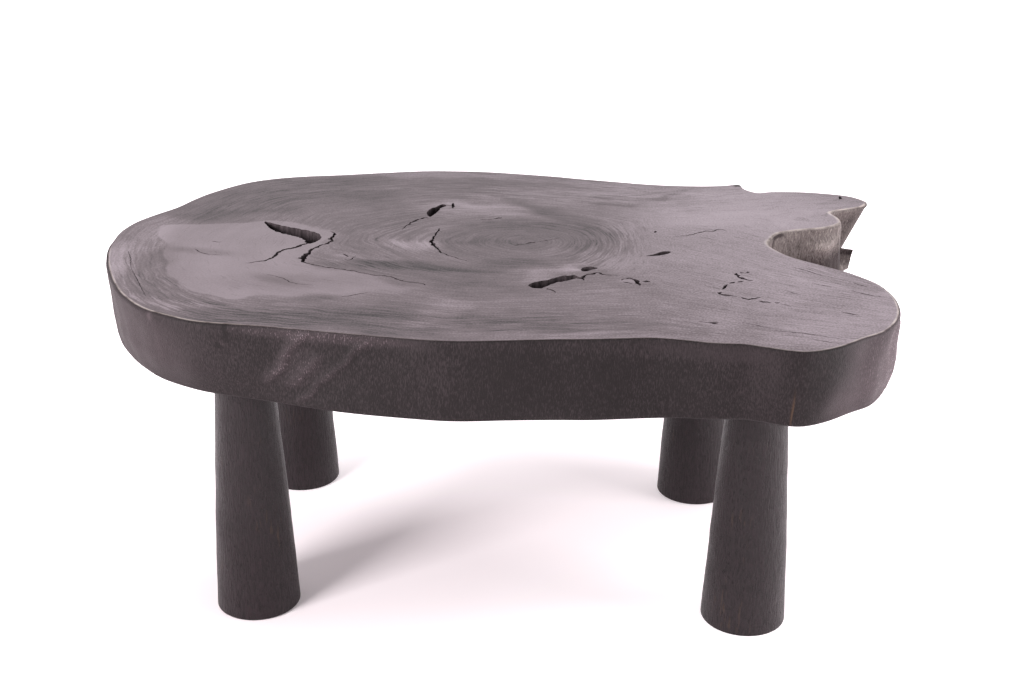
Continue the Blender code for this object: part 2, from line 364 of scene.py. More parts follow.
# Open voids in the top: depth, then pairs of places on the near rim and the far rim from end to end
VOIDS = {
    "void_left": (45, [
        (-329, 69, -328, 73), (-323, 57, -317, 66), (-314, 40, -300, 55), (-300, 25, -281, 46),
        (-284, 15, -261, 36), (-270, 6, -246, 25), (-259, -5, -238, 9), (-256, -14, -240, -9),
        (-252, -20, -248, -20),
    ]),
    "void_middle": (32, [
        (-105, 111, -103, 112), (-109, 119, -101, 119), (-111, 130, -98, 130), (-110, 142, -95, 142),
        (-107, 153, -94, 152), (-101, 160, -91, 159), (-98, 168, -87, 166), (-94, 174, -89, 173),
    ]),
    "void_front": (36, [
        (46, -164, 47, -160), (52, -171, 52, -152), (60, -173, 61, -145), (67, -168, 69, -142),
        (74, -157, 75, -136), (83, -149, 84, -127), (93, -142, 94, -123), (101, -137, 102, -121),
        (106, -130, 106, -126),
    ]),
    "void_small": (20, [
        (109, -101, 110, -97), (112, -106, 112, -91), (118, -105, 118, -88), (124, -99, 124, -88),
        (130, -94, 130, -91),
    ]),
    "void_leaf": (14, [
        (192, -41, 193, -39), (205, -38, 202, -32), (215, -33, 211, -23), (222, -27, 219, -18),
        (225, -21, 224, -19),
    ]),
}

# Cracks: depth, then x, y and width along each
CRACKS = {
    "crack_left": (16, [
        (-252, -19, 3), (-259, -28, 5), (-265, -38, 5), (-275, -46, 4), (-281, -55, 4), (-283, -68, 4.5),
        (-285, -80, 3.5), (-290, -90, 3), (-299, -97, 2.5), (-315, -105, 0.8),
    ]),
    "crack_beside_void": (17, [
        (-230, 34, 1), (-224, 27, 3), (-223, 13, 4), (-225, 3, 5), (-222, -5, 4), (-224, -15, 4),
        (-230, -22, 3), (-237, -35, 4), (-242, -45, 4), (-242, -58, 5), (-245, -68, 8), (-246, -78, 9),
        (-245, -88, 6), (-239, -98, 2.5), (-229, -104, 1.8), (-215, -111, 1.8), (-197, -117, 2),
        (-179, -123, 2.2), (-162, -131, 1.8), (-147, -138, 2.2), (-127, -142, 2), (-117, -150, 2.4),
        (-109, -157, 2.2), (-92, -163, 1.8), (-81, -166, 1.6), (-79, -172, 0.8),
    ]),
    "crack_ring": (15, [
        (-85, 60, 1), (-86.5, 45, 2.4), (-88, 30, 2.4), (-89, 15, 2.8), (-90, 2, 4.5), (-87, -10, 5.5),
        (-83, -20, 3.4), (-78, -30, 2.6), (-73, -43, 2.2), (-65, -52, 1.8), (-52, -64, 1.2),
        (-36, -76, 0.7),
    ]),
    "tail_of_void_middle": (7, [
        (-108, 109, 4), (-112, 105, 3.2), (-117, 100, 3), (-124, 90, 4), (-128, 78, 3), (-132, 68, 2),
        (-135, 50, 0.7),
    ]),
    "slot_by_void_middle": (14, [(-76.5, 155, 1), (-77, 162, 4), (-78, 172, 4), (-79, 182, 1)]),
    "tail_of_void_front": (8, [(69, -174, 3), (77, -178, 2.2), (80, -187, 0.8)]),
    "crack_right_of_front": (11, [
        (109, -136, 1), (111, -130, 4.4), (114, -123, 3.6), (120, -117, 3.2), (127, -112, 4),
        (132, -110, 2.6), (137, -116, 2.2), (145, -118, 2), (158, -118, 0.7),
    ]),
    "torn_knot": (8, [
        (160, -136, 1), (165, -130, 3), (170, -128, 3), (176, -133, 4), (179, -141, 6), (181, -150, 4),
        (182, -154, 1),
    ]),
    "torn_knot_near": (6, [(162, -141, 1), (166, -144, 2.6), (170, -146, 2.4), (173, -147, 0.8)]),
    "torn_knot_leaf": (4, [(185, -139, 1), (188, -139, 6), (191, -139.5, 5), (195, -140, 1)]),
    "crack_pith": (7, [(35, -1, 0.7), (39, 3, 2.6), (43, 6, 4), (48, 8, 0.7)]),
    "dots_by_pith": (4, [(20, -8, 0.7), (24, -6, 2.2), (28, -4, 0.9), (31, -3, 2.4), (33, -2, 0.7)]),
    "hairline_by_pith": (3, [(51, 9, 0.6), (60, 15, 1.3), (78, 26, 0.5)]),
    "crack_behind_rings": (7, [
        (-34, 105, 0.8), (-27, 104.5, 1.8), (-20, 105, 1), (-13, 109, 2.2), (-7, 113, 4.5), (-4, 115, 1),
    ]),
    "crack_towards_notch": (6, [
        (233, 45, 0.6), (250, 51, 1.8), (262, 61, 2), (275, 72, 2.2), (285, 72, 2), (294, 82, 2.2),
        (304, 76, 0.6),
    ]),
}

# Small holes and worm tracks, in the same form
MARKS = {
    "worm_dot_left": (5, [(307, -98, 1), (309, -97.5, 4), (312, -97, 1)]),
    "worm_dot_right": (5, [(315, -96, 1), (317, -95.5, 5), (320, -95, 1)]),
    "worm_upper": (6, [
        (303, -99, 1), (303, -108, 5), (307, -117, 4), (313, -123, 4.5), (321, -126, 0.8),
    ]),
    "worm_dash_upper": (5, [(309, -129, 0.8), (305, -131, 3.6), (301, -132, 0.8)]),
    "worm_dash_middle": (5, [(298, -133, 0.8), (295, -136, 3.6), (291, -139, 0.8)]),
    "worm_left": (6, [(288, -142, 1), (285, -151, 4), (281, -161, 1)]),
    "worm_corner": (6, [
        (280, -171, 0.8), (276, -174, 4.5), (279, -179, 4.5), (288, -182, 3.6), (297, -184, 0.8),
    ]),
    "worm_lower": (6, [
        (301, -187, 1), (305, -191, 4), (310, -193, 3.4), (315, -192, 3.4), (319, -189, 3),
        (324, -186, 0.8),
    ]),
    "worm_end": (5, [(321, -199, 1), (325, -199.5, 4), (329, -201.5, 4), (335, -204, 0.8)]),
    "worm_dot_end": (4, [(339, -203.5, 0.8), (342, -203, 3.6), (345, -202, 0.8)]),
    "end_of_void_front": (14, [
        (101, -127, 1), (105, -129, 4), (109, -131, 5), (112, -135, 4), (113, -140, 1),
    ]),
    "bridge_to_slot": (8, [(-91, 168, 1), (-86, 169.5, 2), (-81, 169, 2), (-77, 168, 1)]),
    "pinhole": (8, [(206, 60, 0.8), (207.5, 64, 4), (209, 68, 0.8)]),
    "mark_front_right": (3, [
        (246, -271, 0.6), (254, -273, 2.2), (260, -274, 3), (264, -274.5, 5.5), (269, -275, 0.8),
    ]),
    "eye_knot": (4, [(-198, -60, 0.7), (-193, -64, 4), (-189, -70, 0.8)]),
    "horn_knot": (7, [(480, 241, 1), (482, 247, 4.5), (483, 253, 4.5), (482, 257, 1)]),
}

# Hairline checks in the top, in the same form
HAIRLINES = {
    "sapwood_left": (2, [
        (-478, -66, 0.5), (-464, -98, 0.9), (-453, -132, 0.6), (-430, -180, 0.9), (-405, -232, 0.5),
    ]),
    "heart_upper": (2, [(-394, -52, 0.6), (-380, -68, 1.6), (-366, -74, 1.2), (-352, -75, 0.6)]),
    "heart_eye": (2, [(-380, -19, 0.6), (-373, -21, 1.6), (-365, -22, 0.6)]),
    "eye_arc": (2, [(-192, -82, 0.5), (-187, -84, 1.2), (-183, -77, 1.4), (-180, -65, 0.5)]),
    "heart_lower": (2, [(-278, -145, 0.5), (-256, -158, 1.2), (-240, -174, 1.2), (-214, -181, 0.5)]),
    "heart_front": (2, [(-172, -219, 0.6), (-160, -212, 1.8), (-144, -202, 0.6)]),
    "lobe_notch": (2, [(374, -70, 0.6), (391, -83, 1.6), (409, -103, 0.6)]),
    "lobe_middle": (2, [(392, -130, 0.6), (403, -137, 1.4), (414, -143, 0.6)]),
    "lobe_edge": (2, [(443, -126, 0.6), (450, -133, 1.8), (458, -140, 0.6)]),
    "lobe_right": (2, [(436, -154, 0.6), (453, -167, 1.8), (470, -175, 0.6)]),
    "lobe_worm": (2, [(356, -160, 0.6), (365, -167, 1.4), (373, -174, 0.6)]),
    "after_worm": (2, [(347, -208, 0.5), (352, -211, 1.2), (357, -214, 0.5)]),
    "lobe_low": (2, [(413, -228, 0.6), (422, -234, 2.4), (431, -238, 0.6)]),
    "front_long": (2, [(329, -294, 0.5), (364, -301, 1.3), (406, -317, 0.5)]),
    "front_short": (2, [(365, -315, 0.5), (381, -323, 1.2), (396, -329, 0.5)]),
    "front_left": (2, [(295, -270, 0.5), (313, -280, 1.2), (327, -286, 0.5)]),
}

# Section of a void and of a crack: share of the half width, share of the depth, from the rim to the floor.
# Then how rough its walls are, as a share of its half width, and how far apart in mm its rings stand
VOID_SECTION = [(1.14, -0.16), (1.0, 0.0), (0.95, 0.05), (0.92, 0.3), (0.84, 0.6), (0.55, 0.92)]
CRACK_SECTION = [(1.6, -0.5), (1.0, 0.0), (0.55, 0.4), (0.18, 1.0)]
VOID_ROUGHNESS = 0.08
CRACK_ROUGHNESS = 0.1
CUT_STEP = 2.2

# The horn's wall: row of its tip, the way it is drawn in there, and over how many rows that and the calmer
# relief reach. Then where it runs straight in to its waist, by row and half length, and the waist's height
HORN_TIP_ROW = 48.2
HORN_LEAN = (-0.99, -0.1)
HORN_LEAN_ROWS = 2.6
HORN_CALM_ROWS = 1.4
HORN_END_ROW = 46.8
HORN_END_ROWS = 3
HORN_WAIST = 0.71

# The spur that is left standing low on the horn's end: row and half length, the row and half length of its
# point, the point's rise, the top's height and slope, and how the wall is drawn in below it
SPUR_ROW = 45.4
SPUR_ROWS = 0.9
SPUR_POINT_ROW = 46.12
SPUR_POINT_ROWS = 0.16
SPUR_POINT_RISE = 9
SPUR_TOP = 372
SPUR_SLOPE = 26
SPUR_INSET = -10
SPUR_TAPER = 0.24

# Diagonal ridges on the front left of the wall: x at the top edge and at the underside, lowest and highest
# z, rise and half width, then the rows between which they lie
RIDGES = [
    (-196, -260, 372, 438, 3.0, 8),
    (-154, -236, 370, 412, 2.0, 9),
    (-116, -213, 350, 436, 2.4, 5),
]
RIDGE_ROWS = (8, 14)

# Bulge of the notch's wall: row, height, half length in rows, half height and rise
NOTCH_BULGE = (40.95, 414, 0.7, 10, 5)

# Rows of the right lobe, whose wall ripples, and how far from an edge the wall's relief fades out
LOBE_ROWS = (24, 33)
RELIEF_FADE = 9

# Seeded swells: seed, number of sines, shortest and longest in mm
RIM_SWELL = (2, 8, 22, 60)
WALL_SWELL = (3, 9, 28, 90)
FINE_FIBRE = (5, 12, 5, 12)
BROAD_FIBRE = (6, 8, 14, 34)
RIDGE_SWELL = (8, 5, 20, 60)
LOBE_RIPPLE = (9, 6, 11, 24)
SPUR_SWELL = (11, 6, 8, 22)
FIGURE_SWELL_X = (21, 8, 50, 130)
FIGURE_SWELL_Y = (22, 8, 50, 130)
DISC_SWELL = (23, 6, 40, 110)

# The same without their seed, which each cut and leg has of its own
CUT_JAGS = (8, 5, 16)
CRACK_WANDER = (6, 7, 22)
CRACK_WIDTH = (6, 6, 18)
LEG_UNEVEN = (8, 40, 160)
LEG_TOOL_MARKS = (8, 9, 22)

# First seed of each kind of cut and of the legs, and how far on the seed of a crack's width is
VOID_SEED = 30
CRACK_SEED = 60
MARK_SEED = 90
HAIRLINE_SEED = 120
WIDTH_SEED_STEP = 50
LEG_SEED = 120
LEG_SEED_STEP = 10

# Hole for an insert and the end of its bolt: radius and height over the underside, from its floor down
INSERT_HOLE = [(6.6, 44), (6.6, 30.6), (9.3, 30.6), (9.3, 2.6), (13.3, 2.6), (13.3, -10)]
HOLE_SIDES = 32

# The legs: bore for the bolt, head, round edges, and belly between head and foot, in mm. Then their rings
# along the side and round the foot, and where the foot's flat has one more, as a share of its radius
LEG_BORE = 6.3
LEG_BORE_DEPTH = 60
LEG_BORE_POINT = 12
LEG_HEAD_RADIUS = 34.6
LEG_HEAD_ROUND = 2
LEG_FOOT_ROUND = 2.5
LEG_BELLY = 1.2
LEG_ROWS = 84
LEG_FOOT_ROWS = 5
LEG_FLAT_RING = 0.5
LEG_SIDES = 112

# Faces that meet at more than this angle keep a sharp edge
SHARP_ANGLE = math.radians(38)


# Shapes

def smoothstep(low, high, value):
    share = np.clip((value - low) / (high - low), 0, 1)
    return share * share * (3 - 2 * share)


def bell(value, middle, half, power=2):
    """1 at the middle, falling off on both sides."""
    return np.exp(-((value - middle) / half) ** power)


def waves(seed, count, shortest, longest, *places):
    """Smooth seeded swell of about -1 to 1: sines of drawn length, heading and phase, added up."""
    draw = np.random.default_rng(seed)
    total = 0
    for _ in range(count):
        heading = draw.normal(size=len(places))
        heading *= 2 * math.pi / draw.uniform(shortest, longest) / np.linalg.norm(heading)
        total = total + np.sin(sum(h * p for h, p in zip(heading, places)) + draw.uniform(0, 2 * math.pi))
    return total / math.sqrt(count)


def spline(rows, place, closed):
    """Catmull-Rom curve through rows of numbers, read at places counted in rows."""
    rows = np.asarray(rows, float)
    first = np.floor(place).astype(int)
    t = (place - first)[:, None]
    near = [first - 1, first, first + 1, first + 2]
    if closed:
        before, start, end, after = (rows[k % len(rows)] for k in near)
    else:
        before, start, end, after = (rows[np.clip(k, 0, len(rows) - 1)] for k in near)
    bend = 2 * before - 5 * start + 4 * end - after
    twist = 3 * start - before - 3 * end + after
    return start + 0.5 * ((end - before) * t + bend * t ** 2 + twist * t ** 3)


def closed_surface(rings, first_pole, last_pole):
    """Points, quads and triangles of a tube of rings, rows by columns by 3, with a fan to each pole."""
    rows, columns, _ = rings.shape
    here = np.arange(rows * columns).reshape(rows, columns)
    beside = np.roll(here, -1, axis=1)
    quads = np.stack([here[:-1], here[1:], beside[1:], beside[:-1]], axis=-1).reshape(-1, 4)
    start, end = rows * columns, rows * columns + 1
    fan = np.stack([np.full(columns, start), here[0], beside[0]], axis=-1)
    end_fan = np.stack([np.full(columns, end), beside[-1], here[-1]], axis=-1)
    points = np.concatenate([rings.reshape(-1, 3), [first_pole], [last_pole]])
    return points, quads, np.concatenate([fan, end_fan])


def outward(points, quads, triangles):
    """The same faces, turned round if they enclose a negative volume."""
    corners = np.concatenate([quads[:, [0, 1, 2]], quads[:, [0, 2, 3]], triangles])
    a, b, c = (points[corners[:, k]] for k in range(3))
    if np.einsum("ij,ij->", a, np.cross(b, c)) < 0:
        return quads[:, ::-1], triangles[:, ::-1]
    return quads, triangles


def mesh_of(name, surfaces):
    """One mesh from closed surfaces in millimetres, each facing outwards."""
    points = []
    faces = []
    offset = 0
    for surface in surfaces:
        quads, triangles = outward(*surface)
        faces += (quads + offset).tolist() + (triangles + offset).tolist()
        points.append(surface[0])
        offset += len(surface[0])
    mesh = bpy.data.meshes.new(name)
    mesh.from_pydata(np.concatenate(points) * MM, [], faces)
    mesh.update()
    return mesh


def add_object(name, mesh, *materials):
    thing = bpy.data.objects.new(name, mesh)
    bpy.context.scene.collection.objects.link(thing)
    for material in materials:
        mesh.materials.append(material)
    return thing


def corner_values(mesh, name, values):
    """Store four numbers for each vertex on the face corners, where a Boolean keeps and blends them."""
    vertex = np.empty(len(mesh.loops), np.int32)
    mesh.loops.foreach_get("vertex_index", vertex)
    layer = mesh.color_attributes.new(name, "FLOAT_COLOR", "CORNER")
    layer.data.foreach_set("color", values[vertex].astype(np.float32).ravel())


def shade(mesh):
    mesh.shade_smooth()
    mesh.set_sharp_from_angle(angle=SHARP_ANGLE)


# The slab

def edge_places():
    """Where the slab's columns stand along LIVE_EDGE, counted in rows."""
    steps = np.full(EDGE_ROWS, COARSE_STEPS)
    for first_row, last_row, count in FINE_STEPS:
        steps[first_row:last_row] = count
    row = np.repeat(np.arange(EDGE_ROWS), steps)
    first = np.repeat(np.cumsum(steps) - steps, steps)
    return row + (np.arange(steps.sum()) - first) / steps[row]


def along_edge(place):
    """Round, wear, coarseness and ripple at places along the edge."""
    row, *columns = np.array(EDGE_FINISH).T
    return [np.interp(place, row, column, period=EDGE_ROWS) for column in columns]


def patches(rows, x, y):
    """Sum of soft ellipses: each amount times exp of minus the cube of the distance in half widths."""
    total = np.zeros_like(x)
    for middle_x, middle_y, length, width, turn, amount in rows:
        angle = math.radians(turn)
        along = ((x - middle_x) * math.cos(angle) + (y - middle_y) * math.sin(angle)) / length
        across = ((y - middle_y) * math.cos(angle) - (x - middle_x) * math.sin(angle)) / width
        total += amount * np.exp(-(along ** 2 + across ** 2) ** 1.5)
    return total


def wall_patches(rows, place, z):
    """Sum of soft patches on the wall, in the same way, by row along the edge and height."""
    total = np.zeros_like(z)
    for row, height, length, tall, amount in rows:
        total += amount * np.exp(-(((place - row) / length) ** 2 + ((z - height) / tall) ** 2) ** 1.5)
    return total


def distance_inside(x, y, outline):
    """Distance to a closed outline, positive inside: nearest of its sides, signed by counting crossings."""
    start = np.array(outline, float)
    end = np.roll(start, -1, axis=0)
    nearest = np.full(x.shape, np.inf)
    inside = np.zeros(x.shape, bool)
    for (ax, ay), (bx, by) in zip(start, end):
        reach = (x - ax) * (bx - ax) + (y - ay) * (by - ay)
        share = np.clip(reach / ((bx - ax) ** 2 + (by - ay) ** 2), 0, 1)
        nearest = np.minimum(nearest, np.hypot(x - ax - share * (bx - ax), y - ay - share * (by - ay)))
        if ay != by:
            inside ^= ((ay > y) != (by > y)) & (x < ax + (y - ay) * (bx - ax) / (by - ay))
    return np.where(inside, nearest, -nearest)


def ridge_rise(place, x, z):
    """Rise of the diagonal ridges: each a bell across its line, steeper on the right."""
    total = np.zeros_like(z + x)
    for top_x, low_x, low_z, high_z, rise, width in RIDGES:
        line = top_x + (low_x - top_x) * (TOP - z) / THICKNESS
        across = (x - line + 2 * waves(*RIDGE_SWELL, x, z)) / width
        length = smoothstep(low_z - 6, low_z + 8, z) * (1 - smoothstep(high_z - 4, high_z + 4, z))
        total += rise * length * np.exp(-(across * np.where(across > 0, 1.8, 1)) ** 2)
    return total * ((place > RIDGE_ROWS[0]) & (place < RIDGE_ROWS[1]))


def wall_relief(place, x, y, drop, coarse, ripple):
    """How far the wall stands out: a slow swell, coarse upright fibre and a bulge in the notch, all calmer
    at the horn's tip, short waves on the right lobe and diagonal ridges on the front left."""
    z = TOP - drop
    swell = 0.7 * waves(*WALL_SWELL, x, y, 0.5 * z)
    fibre = 0.5 * waves(*FINE_FIBRE, x, y, 0.12 * z) + 0.6 * waves(*BROAD_FIBRE, x, y, 0.6 * z)
    row, height, length, tall, rise = NOTCH_BULGE
    bulge = rise * np.exp(-((place - row) / length) ** 2 - ((z - height) / tall) ** 2)
    calm = 1 - 0.9 * bell(place, HORN_TIP_ROW, HORN_CALM_ROWS)
    on_lobe = ((place > LOBE_ROWS[0]) & (place < LOBE_ROWS[1])).astype(float)
    wavy = on_lobe * ripple * 1.3 * waves(*LOBE_RIPPLE, 0.35 * x, y, 0.3 * z)
    fade = smoothstep(0, RELIEF_FADE, drop) * smoothstep(0, RELIEF_FADE, THICKNESS - drop)
    relief = fade * (calm * (swell + coarse * fibre + bulge) + wavy)
    return relief + ridge_rise(place, x, z) * smoothstep(1, 5, drop)


def with_spur(inset, place, x, y, z):
    """A wall's inset with the spur: a foot low on the horn's end that stands out under a sloped and wavy
    top, rises to a point near its outer end, and tapers downwards."""
    ledge = bell(place, SPUR_ROW, SPUR_ROWS, 8)
    point = bell(place, SPUR_POINT_ROW, SPUR_POINT_ROWS)
    top = SPUR_TOP + 1.5 * waves(*SPUR_SWELL, x, y) + SPUR_POINT_RISE * point
    share = ledge * (1 - smoothstep(top - 1 - SPUR_SLOPE * (1 - point), top + 1, z))
    return inset + share * (SPUR_INSET + SPUR_TAPER * (SPUR_TOP - z) - inset)


def slab_rings():
    """The slab's surface as rings of one point per column. On the top each ring is the rim drawn towards
    the pith. Then come a quarter round, the wall, whose inset is the waist's share times a bump about the
    waist plus the underside's share times a smooth step, a lower quarter round, and rings back to the
    middle. At the horn's end the wall runs straight in to its waist. Gives the columns' places along the
    edge, the rings, each point's distance past the rim along the section, and the two poles."""
    place = edge_places()
    x, y, waist, under = spline(LIVE_EDGE, place, True).T
    ahead = spline(LIVE_EDGE, place + DIRECTION_REACH, True)
    behind = spline(LIVE_EDGE, place - DIRECTION_REACH, True)
    along = (ahead - behind)[:, :2]
    along /= np.linalg.norm(along, axis=1)[:, None]
    at_horn = bell(place, HORN_TIP_ROW, HORN_LEAN_ROWS, 4)[:, None]
    inward = (1 - at_horn) * np.stack([-along[:, 1], along[:, 0]], axis=-1) + at_horn * np.array(HORN_LEAN)
    inward_x, inward_y = (inward / np.linalg.norm(inward, axis=1)[:, None]).T
    edge_round, _, coarse, ripple = along_edge(place)
    edge_round = edge_round * (1 + 0.08 * coarse * waves(*RIM_SWELL, x, y))
    sharper_row, sharper_rows, sharper = UNDER_ROUND_SHARPER
    under_round = UNDER_ROUND * (1 - UNDER_ROUND_TORN * coarse)
    under_round = under_round - sharper * bell(place, sharper_row, sharper_rows, 4)
    horn_end = bell(place, HORN_END_ROW, HORN_END_ROWS, 4)

    def ring(inset, drop):
        level = np.broadcast_to(TOP - drop, x.shape)
        return np.stack([x + inward_x * inset, y + inward_y * inset, level], axis=-1)

    rim = ring(edge_round, 0)
    middle = np.array([*PITH, TOP])
    shares = [*np.linspace(0, 1, TOP_ROWS)[1:-1], RIM_SUPPORT, 1]
    rings = [middle + (rim - middle) * share for share in shares]
    past_rim = [-(1 - share) * np.linalg.norm(rim - middle, axis=1) for share in shares]
    for angle in np.linspace(0, math.pi / 2, ROUND_ROWS + 1)[1:]:
        rings.append(ring(edge_round * (1 - math.sin(angle)), edge_round * (1 - math.cos(angle))))
        past_rim.append(edge_round * angle)
    for share in np.linspace(0, 1, WALL_ROWS + 1)[1:-1]:
        drop = edge_round + (THICKNESS - under_round - edge_round) * share
        t = drop / THICKNESS
        upper = smoothstep(0, WAIST, t)
        upper = upper + horn_end * (np.clip(t / HORN_WAIST, 0, 1) - upper)
        lower = smoothstep(WAIST + horn_end * (HORN_WAIST - WAIST), 1, t)
        inset = with_spur(waist * (upper - lower) + under * lower, place, x, y, TOP - drop)
        rings.append(ring(inset - wall_relief(place, x, y, drop, coarse, ripple), drop))
        past_rim.append(drop + edge_round * 0.5)
    for angle in np.linspace(0, math.pi / 2, UNDER_ROUND_ROWS + 1):
        drop = THICKNESS - under_round * (1 - math.sin(angle))
        rings.append(ring(under + under_round * (1 - math.cos(angle)), drop))
        past_rim.append(drop)
    lowest = rings[-1]
    low_middle = np.array([*PITH, UNDERSIDE])
    for share in UNDER_SHARES:
        rings.append(low_middle + (lowest - low_middle) * share)
        past_rim.append(np.full(x.shape, 1.5 * THICKNESS))
    return place, np.array(rings), np.array(past_rim), middle, low_middle


def figure_values(place, rings, past_rim):
    """Ring scale, tone, ring contrast and depth inside the heartwood for each point. The ring scale runs
    from the pith to the rim: the pith's distance over the sum of that and the rim's, so that its level
    lines are ellipses round the pith and follow the live edge further out. On the wall, tone and contrast
    hold how much paler and how brown it is; the wall's tone includes painted light and shade."""
    x, y, z = np.moveaxis(rings, -1, 0)
    outline = rings[OUTLINE_RING]
    to_rim = np.array([np.hypot(row_x[:, None] - outline[:, 0], row_y[:, None] - outline[:, 1]).min(1)
                       for row_x, row_y in zip(x, y)])
    to_rim[past_rim >= 0] = 0
    to_pith = np.hypot((x - PITH[0]) / RING_STRETCH, y - PITH[1])
    ring_scale = RING_SCALE * to_pith / (to_pith + to_rim)
    warp_x = x + FIGURE_WARP * waves(*FIGURE_SWELL_X, x, y)
    warp_y = y + FIGURE_WARP * waves(*FIGURE_SWELL_Y, x, y)
    from_disc = np.hypot((x - DISC_MIDDLE[0]) / DISC_HALF[0], (y - DISC_MIDDLE[1]) / DISC_HALF[1])
    disc = 1 - smoothstep(0.90, 1.04, from_disc + 0.025 * waves(*DISC_SWELL, x, y))
    tone = TOP_TONE + patches(TONE_PATCHES, warp_x, warp_y) + patches(SPOTS, x, y) - DISC_DARKER * disc
    contrast = np.clip(RING_CONTRAST + patches(RING_PATCHES, warp_x, warp_y), 0, MOST_CONTRAST)
    heart = distance_inside(warp_x, warp_y, HEARTWOOD)
    wall = past_rim > 0
    # Paler on the ridges' crests: pale flecks there and a painted highlight
    wall_tone_and_painted_light = wall_patches(WALL_TONES_AND_PAINTED_LIGHT, place, z) + 0.05 * ridge_rise(place, x, z)
    tone = np.where(wall, wall_tone_and_painted_light, tone)
    contrast = np.where(wall, wall_patches([(*BROWN_STREAK, 1.0)], place, z), contrast)
    return np.stack([ring_scale, tone, contrast, heart], axis=-1)


def with_poles(values):
    """Values for each ring's points, then for the two poles."""
    flat = values.reshape(-1, values.shape[-1])
    return np.concatenate([flat, values[0].mean(0)[None], values[-1].mean(0)[None]])


def groove(near, far, depth, section, seed, rough):
    """Closed cutter between two rim lines. Each ring is the section laid across from the far rim over the
    floor to the near rim: half the rims' distance times the section's share, down by its share of the
    depth, which is less where the cut is narrow. Seeded waves along and down it make its walls rough."""
    share, down = np.array(section + [(-a, b) for a, b in reversed(section)]).T
    middle = (near + far) / 2
    half = (far - near) / 2
    run = np.concatenate([[0], np.cumsum(np.linalg.norm(np.diff(middle, axis=0), axis=1))])
    width = np.linalg.norm(half, axis=1)
    shape = np.clip(width / width.max(), 0.15, 1) ** 0.5
    deep = depth * shape[:, None] * down[None, :]
    apart = 30 * np.sign(share) + 0 * deep
    jag = 1 + rough * waves(seed, *CUT_JAGS, run[:, None] + 0 * deep, 1.4 * deep, apart)
    flat = middle[:, None, :] + half[:, None, :] * (share[None, :] * jag)[..., None]
    rings = np.concatenate([flat, (TOP - deep)[..., None]], axis=-1)
    return closed_surface(rings, rings[0].mean(0), rings[-1].mean(0))


def even_places(rows, step):
    """Places along rows of x, y, ..., counted in rows, about a step apart."""
    gaps = np.linalg.norm(np.diff(np.asarray(rows, float)[:, :2], axis=0), axis=1)
    run = np.concatenate([[0], np.cumsum(gaps)])
    count = max(4, int(run[-1] / step))
    return np.interp(np.linspace(0, run[-1], count + 1), run, np.arange(len(rows)))


def void_cutter(depth, rims, seed):
    line = spline(rims, even_places(rims, CUT_STEP), False)
    return groove(line[:, :2], line[:, 2:], depth, VOID_SECTION, seed, VOID_ROUGHNESS)


def crack_cutter(depth, path, seed):
    """A groove along a path, which wanders sideways by a small share of its width and varies in width."""
    line = spline(path, even_places(path, CUT_STEP), False)
    ahead = np.gradient(line[:, :2], axis=0)
    side = np.stack([-ahead[:, 1], ahead[:, 0]], axis=-1) / np.linalg.norm(ahead, axis=1)[:, None]
    width = np.maximum(line[:, 2], 0.4)
    run = np.arange(len(line)) * CUT_STEP
    wander = (0.16 * width + 0.25) * waves(seed, *CRACK_WANDER, run)
    width = width * (1 + 0.3 * waves(seed + WIDTH_SEED_STEP, *CRACK_WIDTH, run))
    middle = line[:, :2] + side * wander[:, None]
    half = side * (width / 2)[:, None]
    return groove(middle - half, middle + half, depth, CRACK_SECTION, seed, CRACK_ROUGHNESS)


def directions(sides):
    """Evenly spaced directions round an upright axis, as their x and y."""
    angle = np.linspace(0, 2 * math.pi, sides, endpoint=False)
    return np.cos(angle)[None, :], np.sin(angle)[None, :]


def turned_surface(radius, height, middle, across, first_pole, last_pole):
    """Rings of a radius at each height, in each direction across an upright axis."""
    across_x, across_y = across
    level = height[:, None] + 0 * across_x
    rings = np.stack([middle[0] + radius * across_x, middle[1] + radius * across_y, level], axis=-1)
    return closed_surface(rings, (*middle, first_pole), (*middle, last_pole))


def leg_middle(corner):
    low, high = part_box("leg_" + corner)
    return (low.x + high.x) / 2 / MM, (low.y + high.y) / 2 / MM


def insert_cutter(corner):
    """Stepped blind hole in the underside for an insert and the end of its bolt."""
    radius, height = np.array(INSERT_HOLE, float).T
    level = UNDERSIDE + height
    across = directions(HOLE_SIDES)
    return turned_surface(radius[:, None], level, leg_middle(corner), across, level[0], level[-1])


def carve(body, name, surfaces, material):
    """Cut closed surfaces out of a piece, leaving their material on the cut."""
    cutter = add_object(name, mesh_of(name, surfaces), material)
    difference = body.modifiers.new(name, "BOOLEAN")
    difference.operation = "DIFFERENCE"
    difference.solver = "EXACT"
    difference.material_mode = "TRANSFER"
    difference.object = cutter
    graph = bpy.context.evaluated_depsgraph_get()
    carved = bpy.data.meshes.new_from_object(body.evaluated_get(graph))
    body.modifiers.clear()
    body.data = carved
    bpy.data.objects.remove(cutter)


def cutters(make_cutter, cuts, first_seed):
    return [make_cutter(depth, rows, first_seed + k) for k, (depth, rows) in enumerate(cuts.values())]


